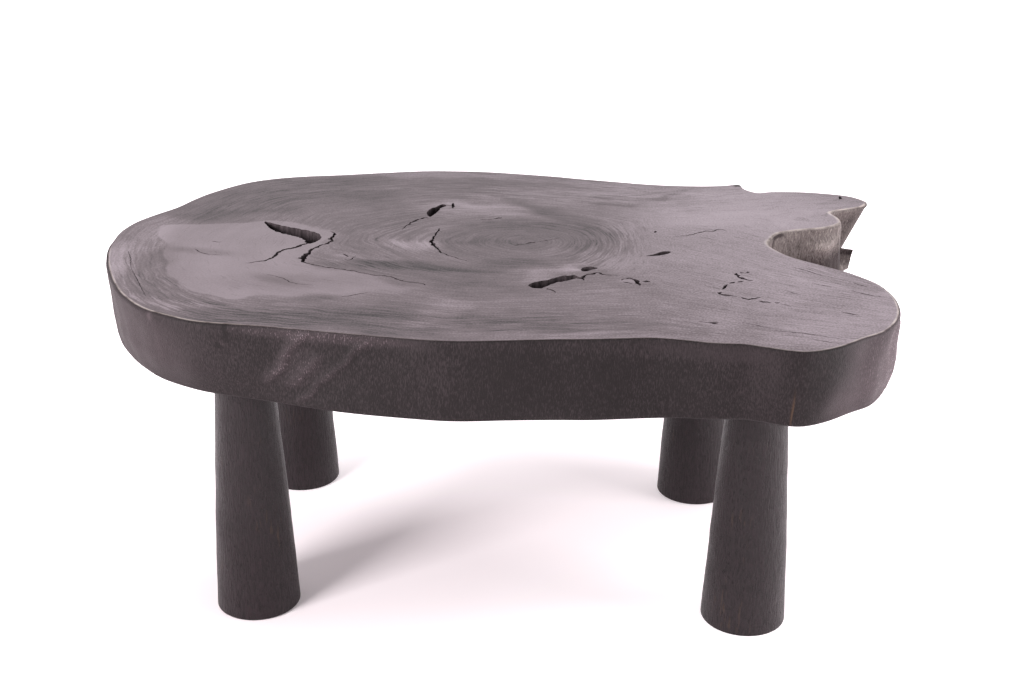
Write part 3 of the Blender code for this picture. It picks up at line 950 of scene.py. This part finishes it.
def make_slab(top_finish, edge_finish, under_finish, char_finish):
    """The closed surface with its three finishes and the values that they read, then the cuts, in passes,
    so that cuts that run into each other are made one after the other."""
    place, rings, past_rim, middle, low_middle = slab_rings()
    mesh = mesh_of("slab", [closed_surface(rings, middle, low_middle)])
    slab = add_object("slab", mesh, top_finish, edge_finish, under_finish)
    columns = len(place)
    strip = np.concatenate([np.repeat(np.arange(len(rings) - 1), columns), np.zeros(columns),
                            np.full(columns, len(rings))])
    finish = np.digitize(strip, [WALL_STRIP, UNDER_STRIP])
    mesh.polygons.foreach_set("material_index", finish.astype(np.int32))
    _, wear, coarse, ripple = along_edge(place)
    along = np.stack([wear, coarse, ripple], axis=-1)
    edge = np.concatenate([past_rim[..., None], np.broadcast_to(along, (*past_rim.shape, 3))], axis=-1)
    corner_values(mesh, "figure", with_poles(figure_values(place, rings, past_rim)))
    corner_values(mesh, "edge", with_poles(edge))
    inserts = [insert_cutter(corner) for corner in CORNERS]
    carve(slab, "voids", cutters(void_cutter, VOIDS, VOID_SEED), char_finish)
    carve(slab, "cracks", cutters(crack_cutter, CRACKS, CRACK_SEED), char_finish)
    carve(slab, "marks", cutters(crack_cutter, MARKS, MARK_SEED) + inserts, char_finish)
    carve(slab, "hairlines", cutters(crack_cutter, HAIRLINES, HAIRLINE_SEED), char_finish)
    shade(slab.data)
    return slab


# The legs

def make_leg(corner, seed, finish):
    """A turned profile from the bore over the head, down a side that swells a little, to a wide foot with a
    round edge. Seeded waves in the side's radius keep it slightly out of round, as hand turning does."""
    low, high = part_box("leg_" + corner)
    middle = leg_middle(corner)
    top = high.z / MM
    foot = (high.x - low.x) / 2 / MM
    share = np.linspace(0, 1, LEG_ROWS)
    side_height = (top - LEG_HEAD_ROUND) * (1 - share) + LEG_FOOT_ROUND * share
    side_radius = LEG_HEAD_RADIUS + (foot - LEG_HEAD_RADIUS) * share + LEG_BELLY * np.sin(math.pi * share)
    turn = np.linspace(0, math.pi / 2, LEG_FOOT_ROWS + 1)[1:]
    foot_radius = foot - LEG_FOOT_ROUND * (1 - np.cos(turn))
    foot_height = LEG_FOOT_ROUND * (1 - np.sin(turn))
    bore_floor = top - LEG_BORE_DEPTH
    head_radius = [LEG_BORE, LEG_BORE, LEG_HEAD_RADIUS - LEG_HEAD_ROUND]
    head_height = [bore_floor + LEG_BORE_POINT, top, top]
    radius = np.concatenate([head_radius, side_radius, foot_radius, [foot * LEG_FLAT_RING]])
    height = np.concatenate([head_height, side_height, foot_height, [0]])
    across_x, across_y = across = directions(LEG_SIDES)
    level = height[:, None]
    worked = np.zeros(len(radius))
    first = len(head_radius)
    worked[first:first + LEG_ROWS] = np.sin(math.pi * np.clip(share, 0.02, 0.98)) ** 0.4
    uneven = 0.32 * waves(seed, *LEG_UNEVEN, 40 * across_x, 40 * across_y, level)
    uneven = uneven + 0.12 * waves(seed + 1, *LEG_TOOL_MARKS, 45 * across_x, 45 * across_y, 0.5 * level)
    wide = radius[:, None] + worked[:, None] * uneven
    surface = turned_surface(wide, height, middle, across, bore_floor, 0)
    leg = add_object("turned_leg_" + corner, mesh_of("turned_leg_" + corner, [surface]), finish)
    shade(leg.data)
    return leg


# Finishes

# Dark, middle and pale wood: waxed and burnt, then bare and weathered, which is warmer
WAXED_WOOD = [(0.010, 0.0070, 0.0076, 1), (0.128, 0.0955, 0.1065, 1), (0.340, 0.275, 0.310, 1)]
BARE_WOOD = [(0.021, 0.0125, 0.0130, 1), (0.125, 0.102, 0.098, 1), (0.330, 0.285, 0.270, 1)]

WORN_TOP = (0.56, 0.485, 0.470, 1)
WORN_WALL = (0.60, 0.515, 0.485, 1)
WALL_BROWN = (0.085, 0.048, 0.030, 1)
LEG_DARK = (0.0150, 0.0090, 0.0110, 1)
LEG_BROWN = (0.10, 0.058, 0.036, 1)

# Dull metal, bright metal and roughness
ZINC = ((0.42, 0.43, 0.45, 1), (0.66, 0.67, 0.68, 1), 0.34)
BRASS = ((0.56, 0.39, 0.16, 1), (0.80, 0.60, 0.28, 1), 0.32)


class Sheet:
    """A node tree being drawn up: each call adds a node and gives what it puts out."""

    def __init__(self, tree):
        self.tree = tree

    def feed(self, socket, value):
        """Link a node's output to a socket, or set the socket to a constant."""
        if isinstance(value, bpy.types.NodeSocket):
            self.tree.links.new(value, socket)
        else:
            socket.default_value = value

    def node(self, kind, inputs=None, **settings):
        made = self.tree.nodes.new("ShaderNode" + kind)
        for name, value in settings.items():
            setattr(made, name, value)
        for name, value in (inputs or {}).items():
            self.feed(made.inputs[name], value)
        return made

    def group(self, tree, **inputs):
        sockets = {name.capitalize(): value for name, value in inputs.items()}
        return self.node("Group", sockets, node_tree=tree).outputs

    def math(self, operation, *values):
        return self.node("Math", dict(enumerate(values)), operation=operation).outputs[0]

    def plus(self, first, second):
        return self.math("ADD", first, second)

    def minus(self, first, second):
        return self.math("SUBTRACT", first, second)

    def times(self, first, second):
        return self.math("MULTIPLY", first, second)

    def scaled(self, value, amount, onto):
        """A value times an amount, added onto another."""
        return self.math("MULTIPLY_ADD", value, amount, onto)

    def step(self, value, low, high, to_low=0.0, to_high=1.0):
        """Smooth step of a value between two limits."""
        limits = {"Value": value, "From Min": low, "From Max": high, "To Min": to_low, "To Max": to_high}
        return self.node("MapRange", limits, interpolation_type="SMOOTHSTEP").outputs[0]

    def noise(self, place, detail=2.0, scale=1.0):
        inputs = {"Vector": place, "Scale": scale, "Detail": detail}
        return self.node("TexNoise", inputs).outputs["Fac"]

    def swing(self, place, detail, scale):
        """Noise that goes as far below nil as above it."""
        return self.minus(self.noise(place, detail, scale), 0.5)

    def stretched(self, place, *amounts):
        """A place with each axis scaled by its own amount."""
        return self.node("VectorMath", {0: place, 1: amounts}, operation="MULTIPLY").outputs[0]

    def mix(self, share, first, second):
        """Mix of two colours."""
        return self.node("Mix", {0: share, 6: first, 7: second}, data_type="RGBA").outputs[2]

    def blend(self, share, first, second):
        """Mix of two numbers."""
        return self.node("Mix", {0: share, 2: first, 3: second}).outputs[0]

    def split(self, colour):
        return self.node("SeparateColor", {0: colour}).outputs

    def axes(self, place):
        return self.node("SeparateXYZ", {0: place}).outputs

    def attribute(self, name):
        return self.node("Attribute", attribute_name=name).outputs


def new_group(name, inputs, outputs):
    """An empty node group with named sockets: its sheet, what it is given and what is wanted of it."""
    tree = bpy.data.node_groups.new(name, "ShaderNodeTree")
    for socket, kind in inputs.items():
        tree.interface.new_socket(socket, in_out="INPUT", socket_type="NodeSocket" + kind)
    for socket in outputs:
        tree.interface.new_socket(socket, in_out="OUTPUT", socket_type="NodeSocketFloat")
    given = tree.nodes.new("NodeGroupInput").outputs
    wanted = tree.nodes.new("NodeGroupOutput").inputs
    return Sheet(tree), given, wanted


def growth_rings_group():
    """Ring lines: noise that is fine across the ring scale and long along it, read at a wavering scale."""
    inputs = {"Ring": "Float", "Position": "Vector"}
    sheet, given, wanted = new_group("growth rings", inputs, ["Fine", "Broad", "Pores"])
    waver = sheet.times(sheet.swing(given["Position"], 3.0, 12.0), 18.0)
    ring = sheet.plus(given["Ring"], waver)
    x, y, _ = sheet.axes(given["Position"])

    def lines(along, across, detail):
        place = {0: sheet.times(x, along), 1: sheet.times(y, along), 2: sheet.times(ring, across)}
        return sheet.noise(sheet.node("CombineXYZ", place).outputs[0], detail)

    sheet.feed(wanted["Fine"], sheet.step(lines(20.0, 0.40, 3.0), 0.34, 0.66))
    sheet.feed(wanted["Broad"], sheet.step(lines(6.0, 0.06, 3.0), 0.28, 0.72))
    sheet.feed(wanted["Pores"], sheet.step(lines(34.0, 0.48, 1.0), 0.62, 0.72))
    return sheet.tree


def straight_grain_group():
    """Lines of straight grain right of the rings: y, bent down towards the right lobe's end and up at the
    back, and the share of straight grain, which comes in raggedly."""
    sheet, given, wanted = new_group("straight grain", {"Position": "Vector"}, ["Line", "Share"])
    x, y, _ = sheet.axes(given["Position"])
    past = sheet.math("MAXIMUM", sheet.minus(x, 0.2), 0.0)
    from_lobe = sheet.math("DIVIDE", sheet.plus(y, 0.11), 0.2)
    lobe = sheet.math("EXPONENT", sheet.times(sheet.times(from_lobe, from_lobe), -1.0))
    fall = sheet.scaled(lobe, 0.7, sheet.step(y, 0.06, 0.2, 0.0, -0.3))
    ragged = sheet.swing(given["Position"], 3.0, 10.0)
    sheet.feed(wanted["Line"], sheet.times(sheet.scaled(past, fall, y), 1 / MM))
    sheet.feed(wanted["Share"], sheet.step(sheet.scaled(ragged, 0.12, x), 0.15, 0.24))
    return sheet.tree


def upright_fibre_group():
    """Wood fibre that runs up and down: noise that is fine across and longer in height."""
    inputs = {"Position": "Vector", "Fineness": "Float", "Run": "Float"}
    sheet, given, wanted = new_group("upright fibre", inputs, ["Fibre", "Pores", "Cloud"])
    scaling = {0: given["Position"], "Scale": given["Fineness"]}
    fine = sheet.node("VectorMath", scaling, operation="SCALE").outputs[0]
    shape = sheet.node("CombineXYZ", {0: 1.0, 1: 1.0, 2: given["Run"]}).outputs[0]
    place = sheet.node("VectorMath", {0: fine, 1: shape}, operation="MULTIPLY").outputs[0]
    pores = sheet.noise(sheet.stretched(place, 1.7, 1.7, 2.0), 1.0)
    sheet.feed(wanted["Fibre"], sheet.step(sheet.noise(place, 4.0), 0.30, 0.72))
    sheet.feed(wanted["Pores"], sheet.step(pores, 0.58, 0.72))
    sheet.feed(wanted["Cloud"], sheet.noise(sheet.stretched(given["Position"], 1, 1, 0.6), 4.0, 18.0))
    return sheet.tree


def edge_wear_group():
    """Worn line along a rim: strongest where the distance past the rim is nil, broken up by noise."""
    inputs = {"Past": "Float", "Width": "Float", "Amount": "Float", "Position": "Vector"}
    sheet, given, wanted = new_group("edge wear", inputs, ["Mask"])
    patchy = sheet.step(sheet.noise(given["Position"], 3.0, 60.0), 0.30, 0.62, 0.15, 1.0)
    near = sheet.math("DIVIDE", sheet.math("ABSOLUTE", given["Past"]), given["Width"])
    line = sheet.minus(1.0, sheet.step(near, 0.15, 1.0))
    sheet.feed(wanted["Mask"], sheet.times(sheet.times(line, patchy), given["Amount"]))
    return sheet.tree


GROWTH_RINGS = growth_rings_group()
STRAIGHT_GRAIN = straight_grain_group()
UPRIGHT_FIBRE = upright_fibre_group()
EDGE_WEAR = edge_wear_group()


def finish_sheet(name):
    """A new material with its tree as a sheet, its shader and the object's own coordinates."""
    material = bpy.data.materials.new(name)
    material.use_nodes = True
    sheet = Sheet(material.node_tree)
    shader = material.node_tree.nodes["Principled BSDF"]
    position = sheet.node("TexCoord").outputs["Object"]
    return material, sheet, shader, position


def dress(sheet, shader, colour, roughness, height, depth, specular=0.5):
    """Give a shader its colour, roughness, a bump of some depth in millimetres and its specular level."""
    bump = sheet.node("Bump", {"Height": height, "Strength": 1.0, "Distance": depth * MM})
    sheet.feed(shader.inputs["Base Color"], colour)
    sheet.feed(shader.inputs["Roughness"], roughness)
    sheet.feed(shader.inputs["Normal"], bump.outputs[0])
    sheet.feed(shader.inputs["Specular IOR Level"], specular)


def wood_colour(sheet, tone, wood):
    """Colour of a wood at a tone from 0, dark, over a half to 1, pale."""
    dark, middle, pale = wood
    ramp = sheet.node("ValToRGB", {0: tone})
    stops = ramp.color_ramp.elements
    stops[0].color = dark
    stops[1].color = pale
    stops.new(0.5).color = middle
    return ramp.outputs[0]


def worn_rim(sheet, position, colour, worn_colour):
    """A colour with the rim worn pale, over more of it where the wall's fibre is coarse."""
    past, wear, coarse = sheet.split(sheet.attribute("edge")["Color"])
    reach = sheet.scaled(coarse, 3.0, 1.8)
    worn = sheet.group(EDGE_WEAR, past=past, width=reach, amount=wear, position=position)["Mask"]
    return sheet.mix(worn, colour, worn_colour)


def heartwood_share(sheet, position, inside):
    """1 well inside the heartwood's ragged outline and 0 outside it, more gradual towards the right."""
    ragged = sheet.swing(position, 4.0, 40.0)
    x = sheet.axes(position)[0]
    outer = sheet.step(x, -0.30, -0.10, -3.0, -24.0)
    inner = sheet.step(x, -0.30, -0.10, 4.0, 16.0)
    return sheet.step(sheet.scaled(ragged, 9.0, inside), outer, inner)


def slab_top_finish():
    """Waxed top: growth rings, straight grain right of them and smooth pale heartwood in the left lobe,
    with clouds, mottle, speckle and pores over them all, and a worn rim."""
    material, sheet, shader, position = finish_sheet("slab_top_waxed")
    figure = sheet.attribute("figure")
    ring, tone, contrast = sheet.split(figure["Color"])
    rings = sheet.group(GROWTH_RINGS, ring=ring, position=position)
    line, straight = sheet.group(STRAIGHT_GRAIN, position=position)
    grain = sheet.group(GROWTH_RINGS, ring=line, position=position)
    fine, broad, pores = (sheet.blend(straight, rings[k], grain[k]) for k in ("Fine", "Broad", "Pores"))
    cloud = sheet.swing(position, 4.0, 15.0)
    mottle = sheet.swing(position, 3.0, 70.0)
    speckle = sheet.swing(position, 2.0, 400.0)
    heart = heartwood_share(sheet, position, figure["Alpha"])
    plain = sheet.scaled(heart, -0.88, 1.0)
    shown = sheet.times(contrast, plain)
    broken = sheet.step(sheet.noise(position, 2.0, 60.0), 0.40, 0.62, 0.2, 1.2)
    lines = sheet.scaled(shown, 0.24, sheet.times(plain, 0.08))
    lines = sheet.times(lines, sheet.blend(straight, 1.0, broken))
    lines = sheet.times(sheet.minus(fine, 0.5), lines)
    bands = sheet.times(sheet.minus(broad, 0.5), sheet.scaled(shown, 0.12, 0.03))
    grit = sheet.scaled(straight, 0.22, sheet.scaled(plain, 0.40, 0.16))
    dashes = sheet.scaled(straight, 0.08, sheet.scaled(shown, 0.24, 0.05))
    level = sheet.scaled(heart, 0.175, tone)
    level = sheet.plus(level, sheet.plus(lines, bands))
    level = sheet.scaled(cloud, 0.14, level)
    level = sheet.scaled(mottle, sheet.scaled(plain, 0.12, 0.04), level)
    level = sheet.scaled(speckle, grit, level)
    level = sheet.minus(level, sheet.times(pores, dashes))
    colour = worn_rim(sheet, position, wood_colour(sheet, level, WAXED_WOOD), WORN_TOP)
    roughness = sheet.step(level, 0.0, 1.0, 0.56, 0.40)
    height = sheet.minus(sheet.times(fine, 0.35), pores)
    dress(sheet, shader, colour, roughness, height, 0.12, 0.35)
    return material


def live_edge_finish():
    """Burnt wall with fine upright fibre, flecked where it is paler, bare and warmer in the notch. Its tone
    comes from the wall's patches, some of which are painted light and shade.
    """
    material, sheet, shader, position = finish_sheet("live_edge_waxed")
    edge = sheet.attribute("edge")
    coarse = sheet.split(edge["Color"])[2]
    _, tone, brown = sheet.split(sheet.attribute("figure")["Color"])
    fibre, pores, cloud = sheet.group(UPRIGHT_FIBRE, position=position, fineness=860.0, run=0.24)
    streak, flecks, _ = sheet.group(UPRIGHT_FIBRE, position=position, fineness=640.0, run=0.20)
    depth = sheet.step(tone, 0.0, 0.05, 0.14, 0.05)
    speck = sheet.scaled(sheet.scaled(flecks, 2.4, -0.5), edge["Alpha"], 1.0)
    level = sheet.scaled(sheet.minus(fibre, 0.5), depth, 0.018)
    level = sheet.plus(level, sheet.times(sheet.minus(cloud, 0.5), 0.05))
    level = sheet.scaled(tone, speck, level)
    level = sheet.minus(level, sheet.times(pores, 0.03))
    burnt = sheet.mix(brown, wood_colour(sheet, level, WAXED_WOOD), WALL_BROWN)
    mottle = sheet.noise(sheet.stretched(position, 420, 420, 230), 2.0)
    bare = sheet.scaled(streak, 0.26, sheet.scaled(cloud, 0.34, 0.18))
    bare = sheet.minus(bare, sheet.times(sheet.math("MAXIMUM", pores, flecks), 0.26))
    bare = sheet.scaled(sheet.minus(mottle, 0.5), 0.50, sheet.plus(bare, tone))
    colour = sheet.mix(sheet.step(coarse, 0.25, 0.95), burnt, wood_colour(sheet, bare, BARE_WOOD))
    colour = worn_rim(sheet, position, colour, WORN_WALL)
    roughness = sheet.step(cloud, 0.3, 0.7, 0.68, 0.62)
    height = sheet.minus(sheet.times(fibre, 0.6), pores)
    dress(sheet, shader, colour, roughness, height, 0.30, 0.16)
    return material


def underside_finish():
    """Scorched underside with the lines of the saw along it."""
    material, sheet, shader, position = finish_sheet("underside_scorched")
    saw = sheet.noise(sheet.stretched(position, 14, 260, 14), 2.0)
    cloud = sheet.noise(position, 4.0, 14.0)
    level = sheet.scaled(sheet.plus(saw, cloud), 0.22, -0.08)
    roughness = sheet.step(cloud, 0.3, 0.7, 0.75, 0.6)
    dress(sheet, shader, wood_colour(sheet, level, WAXED_WOOD), roughness, saw, 0.25, 0.25)
    return material


def void_char_finish():
    """Charred walls of the voids and cracks, with upright fibre."""
    material, sheet, shader, position = finish_sheet("void_charred")
    fibre, pores, cloud = sheet.group(UPRIGHT_FIBRE, position=position, fineness=260.0, run=0.15)
    level = sheet.scaled(fibre, 0.16, sheet.scaled(cloud, 0.28, -0.06))
    roughness = sheet.step(cloud, 0.3, 0.7, 0.9, 0.7)
    height = sheet.minus(fibre, pores)
    dress(sheet, shader, wood_colour(sheet, level, WAXED_WOOD), roughness, height, 0.6, 0.2)
    return material


def leg_finish():
    """Dark waxed legs with long upright fibre, a few brown flecks, and a paler foot."""
    material, sheet, shader, position = finish_sheet("leg_waxed")
    fibre, pores, cloud = sheet.group(UPRIGHT_FIBRE, position=position, fineness=520.0, run=0.14)
    _, flecks, _ = sheet.group(UPRIGHT_FIBRE, position=position, fineness=190.0, run=0.10)
    foot = sheet.step(sheet.axes(position)[2], 0.0, 0.16, 0.070, -0.010)
    level = sheet.scaled(sheet.minus(fibre, 0.5), 0.17, foot)
    level = sheet.plus(level, sheet.times(sheet.minus(cloud, 0.5), 0.10))
    level = sheet.minus(level, sheet.times(pores, 0.06))
    dark = sheet.scaled(fibre, 0.8, 0.2)
    brown = sheet.times(flecks, sheet.step(cloud, 0.52, 0.66, 0.0, 0.24))
    colour = sheet.mix(dark, wood_colour(sheet, level, WAXED_WOOD), LEG_DARK)
    colour = sheet.mix(brown, colour, LEG_BROWN)
    roughness = sheet.step(cloud, 0.3, 0.7, 0.44, 0.34)
    height = sheet.minus(sheet.times(fibre, 0.6), pores)
    dress(sheet, shader, colour, roughness, height, 0.90, 0.205)
    return material


def metal_finish(name, dull, bright, rough):
    """Turned metal: fine rings of brighter and duller metal up the axis, with cloudy plating."""
    material, sheet, shader, position = finish_sheet(name)
    rings = sheet.noise(sheet.stretched(position, 30, 30, 2600), 1.0)
    cloud = sheet.noise(position, 3.0, 220.0)
    colour = sheet.mix(sheet.scaled(rings, 0.5, sheet.times(cloud, 0.5)), dull, bright)
    roughness = sheet.step(cloud, 0.3, 0.7, rough + 0.1, rough - 0.06)
    dress(sheet, shader, colour, roughness, rings, 0.03)
    shader.inputs["Metallic"].default_value = 1.0
    return material


# Stage, light and camera

CAMERA_PLACE = Vector((0.1238, -1.8207, 1.0320))
CAMERA_HEADING = (-0.0583, 0.9983)
CAMERA_PITCH = math.radians(21.854)
CAMERA_ROLL = math.radians(-0.243)
CAMERA_LENS = 50.98
CAMERA_SENSOR = 36.0

BACKDROP = (1.0, 0.975, 0.992, 1)
PAPER_DARK = (0.90, 0.805, 0.832, 1)
PAPER_PALE = (0.95, 0.855, 0.882, 1)
FLOOR_RADIUS = 30.0
FLOOR_DROP = 0.0004

# Where the floor takes the shadow: middle, turn and stretch of the dark oval. Outside it the floor's painted
# glow grows and washes the shadows out
SHADOW_MIDDLE = (-0.15, 0, 0)
SHADOW_TURN = -0.54
SHADOW_STRETCH = (1, 2, 1)

# Lamps: place, size and power, all aimed at one point
SOFTBOX_AIM = Vector((0, 0, 0.3))
SOFTBOXES = {
    "softbox_left": ((-1.85, -2.0, 1.25), 1.1, 108),
    "softbox_right": ((2.4, -0.5, 0.55), 1.3, 64),
}


def make_camera():
    heading = Vector((*CAMERA_HEADING, 0)).normalized()
    forward = heading * math.cos(CAMERA_PITCH) - Vector((0, 0, math.sin(CAMERA_PITCH)))
    level = Vector((heading.y, -heading.x, 0))
    down = forward.cross(level)
    right = level * math.cos(CAMERA_ROLL) + down * math.sin(CAMERA_ROLL)
    up = right.cross(forward)
    lens = bpy.data.cameras.new("camera")
    lens.lens = CAMERA_LENS
    lens.sensor_width = CAMERA_SENSOR
    lens.sensor_fit = "HORIZONTAL"
    camera = bpy.data.objects.new("camera", lens)
    turn = Matrix((right, up, -forward)).transposed().to_4x4()
    camera.matrix_world = Matrix.Translation(CAMERA_PLACE) @ turn
    bpy.context.scene.collection.objects.link(camera)
    bpy.context.scene.camera = camera


def add_softbox(name, place, size, power):
    """A square area lamp that looks at the table."""
    lamp = bpy.data.lights.new(name, "AREA")
    lamp.size = size
    lamp.energy = power
    box = bpy.data.objects.new(name, lamp)
    box.location = place
    aim = SOFTBOX_AIM - Vector(place)
    box.rotation_euler = aim.to_track_quat("-Z", "Y").to_euler()
    bpy.context.scene.collection.objects.link(box)


def seen_ray(sheet):
    """1 for a ray that shows the backdrop itself: to the camera, mirrored or through glass."""
    path = sheet.node("LightPath").outputs
    mirrored = sheet.math("MAXIMUM", path["Is Glossy Ray"], path["Is Transmission Ray"])
    return sheet.math("MAXIMUM", path["Is Camera Ray"], mirrored)


def make_world():
    """White to the camera. For light and reflections it is dimmer in front, where the studio is dark, and
    brighter on the right."""
    world = bpy.data.worlds.new("studio")
    world.use_nodes = True
    bpy.context.scene.world = world
    sheet = Sheet(world.node_tree)
    background = world.node_tree.nodes["Background"]
    x, y, _ = sheet.axes(sheet.node("TexCoord").outputs["Generated"])
    light = sheet.plus(sheet.step(y, -0.7, 0.8, 0.28, 1.15), sheet.step(x, 0.35, 0.95, 0.0, 0.5))
    camera = sheet.node("LightPath").outputs["Is Camera Ray"]
    sheet.feed(background.inputs["Color"], BACKDROP)
    sheet.feed(background.inputs["Strength"], sheet.math("MAXIMUM", light, camera))


def make_floor():
    """A round floor that takes the table's shadow in an oval near it. Further out a painted glow, seen by the
    camera and in reflections, washes the shadows out into the white backdrop.
    """
    place = (0, 0, -FLOOR_DROP)
    bpy.ops.mesh.primitive_circle_add(vertices=64, radius=FLOOR_RADIUS, fill_type="NGON", location=place)
    floor = bpy.context.object
    floor.name = "floor"
    material, sheet, shader, position = finish_sheet("floor_paper")
    paper = sheet.mix(sheet.noise(position, 3.0, 3.0), PAPER_DARK, PAPER_PALE)
    sheet.feed(shader.inputs["Base Color"], paper)
    sheet.feed(shader.inputs["Roughness"], 0.9)
    sheet.feed(shader.inputs["Specular IOR Level"], 0.1)
    turning = {"Vector": position, "Angle": SHADOW_TURN}
    turned = sheet.node("VectorRotate", turning, rotation_type="Z_AXIS").outputs[0]
    oval = {0: sheet.stretched(turned, *SHADOW_STRETCH), 1: SHADOW_MIDDLE}
    away = sheet.node("VectorMath", oval, operation="DISTANCE").outputs["Value"]
    level = sheet.times(sheet.step(away, 0.05, 1.3, 0.04, 1.0), seen_ray(sheet))
    glow = sheet.node("Emission", {"Color": BACKDROP, "Strength": level})
    both = sheet.node("AddShader", {0: shader.outputs[0], 1: glow.outputs[0]})
    sheet.feed(sheet.tree.nodes["Material Output"].inputs["Surface"], both.outputs[0])
    floor.data.materials.append(material)


# The scene

slab = make_slab(slab_top_finish(), live_edge_finish(), underside_finish(), void_char_finish())
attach(slab, "root")
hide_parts("slab_top")

leg_wood = leg_finish()
for number, corner in enumerate(CORNERS):
    leg = make_leg(corner, LEG_SEED + LEG_SEED_STEP * number, leg_wood)
    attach(leg, "root")
    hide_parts("leg_" + corner)

zinc = metal_finish("bolt_zinc", *ZINC)
brass = metal_finish("insert_brass", *BRASS)
for corner in CORNERS:
    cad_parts["hanger_bolt_" + corner].material_slots[0].material = zinc
    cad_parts["threaded_insert_" + corner].material_slots[0].material = brass

make_camera()
make_world()
make_floor()
for name, (place, size, power) in SOFTBOXES.items():
    add_softbox(name, place, size, power)
bpy.context.scene.view_settings.view_transform = "Standard"
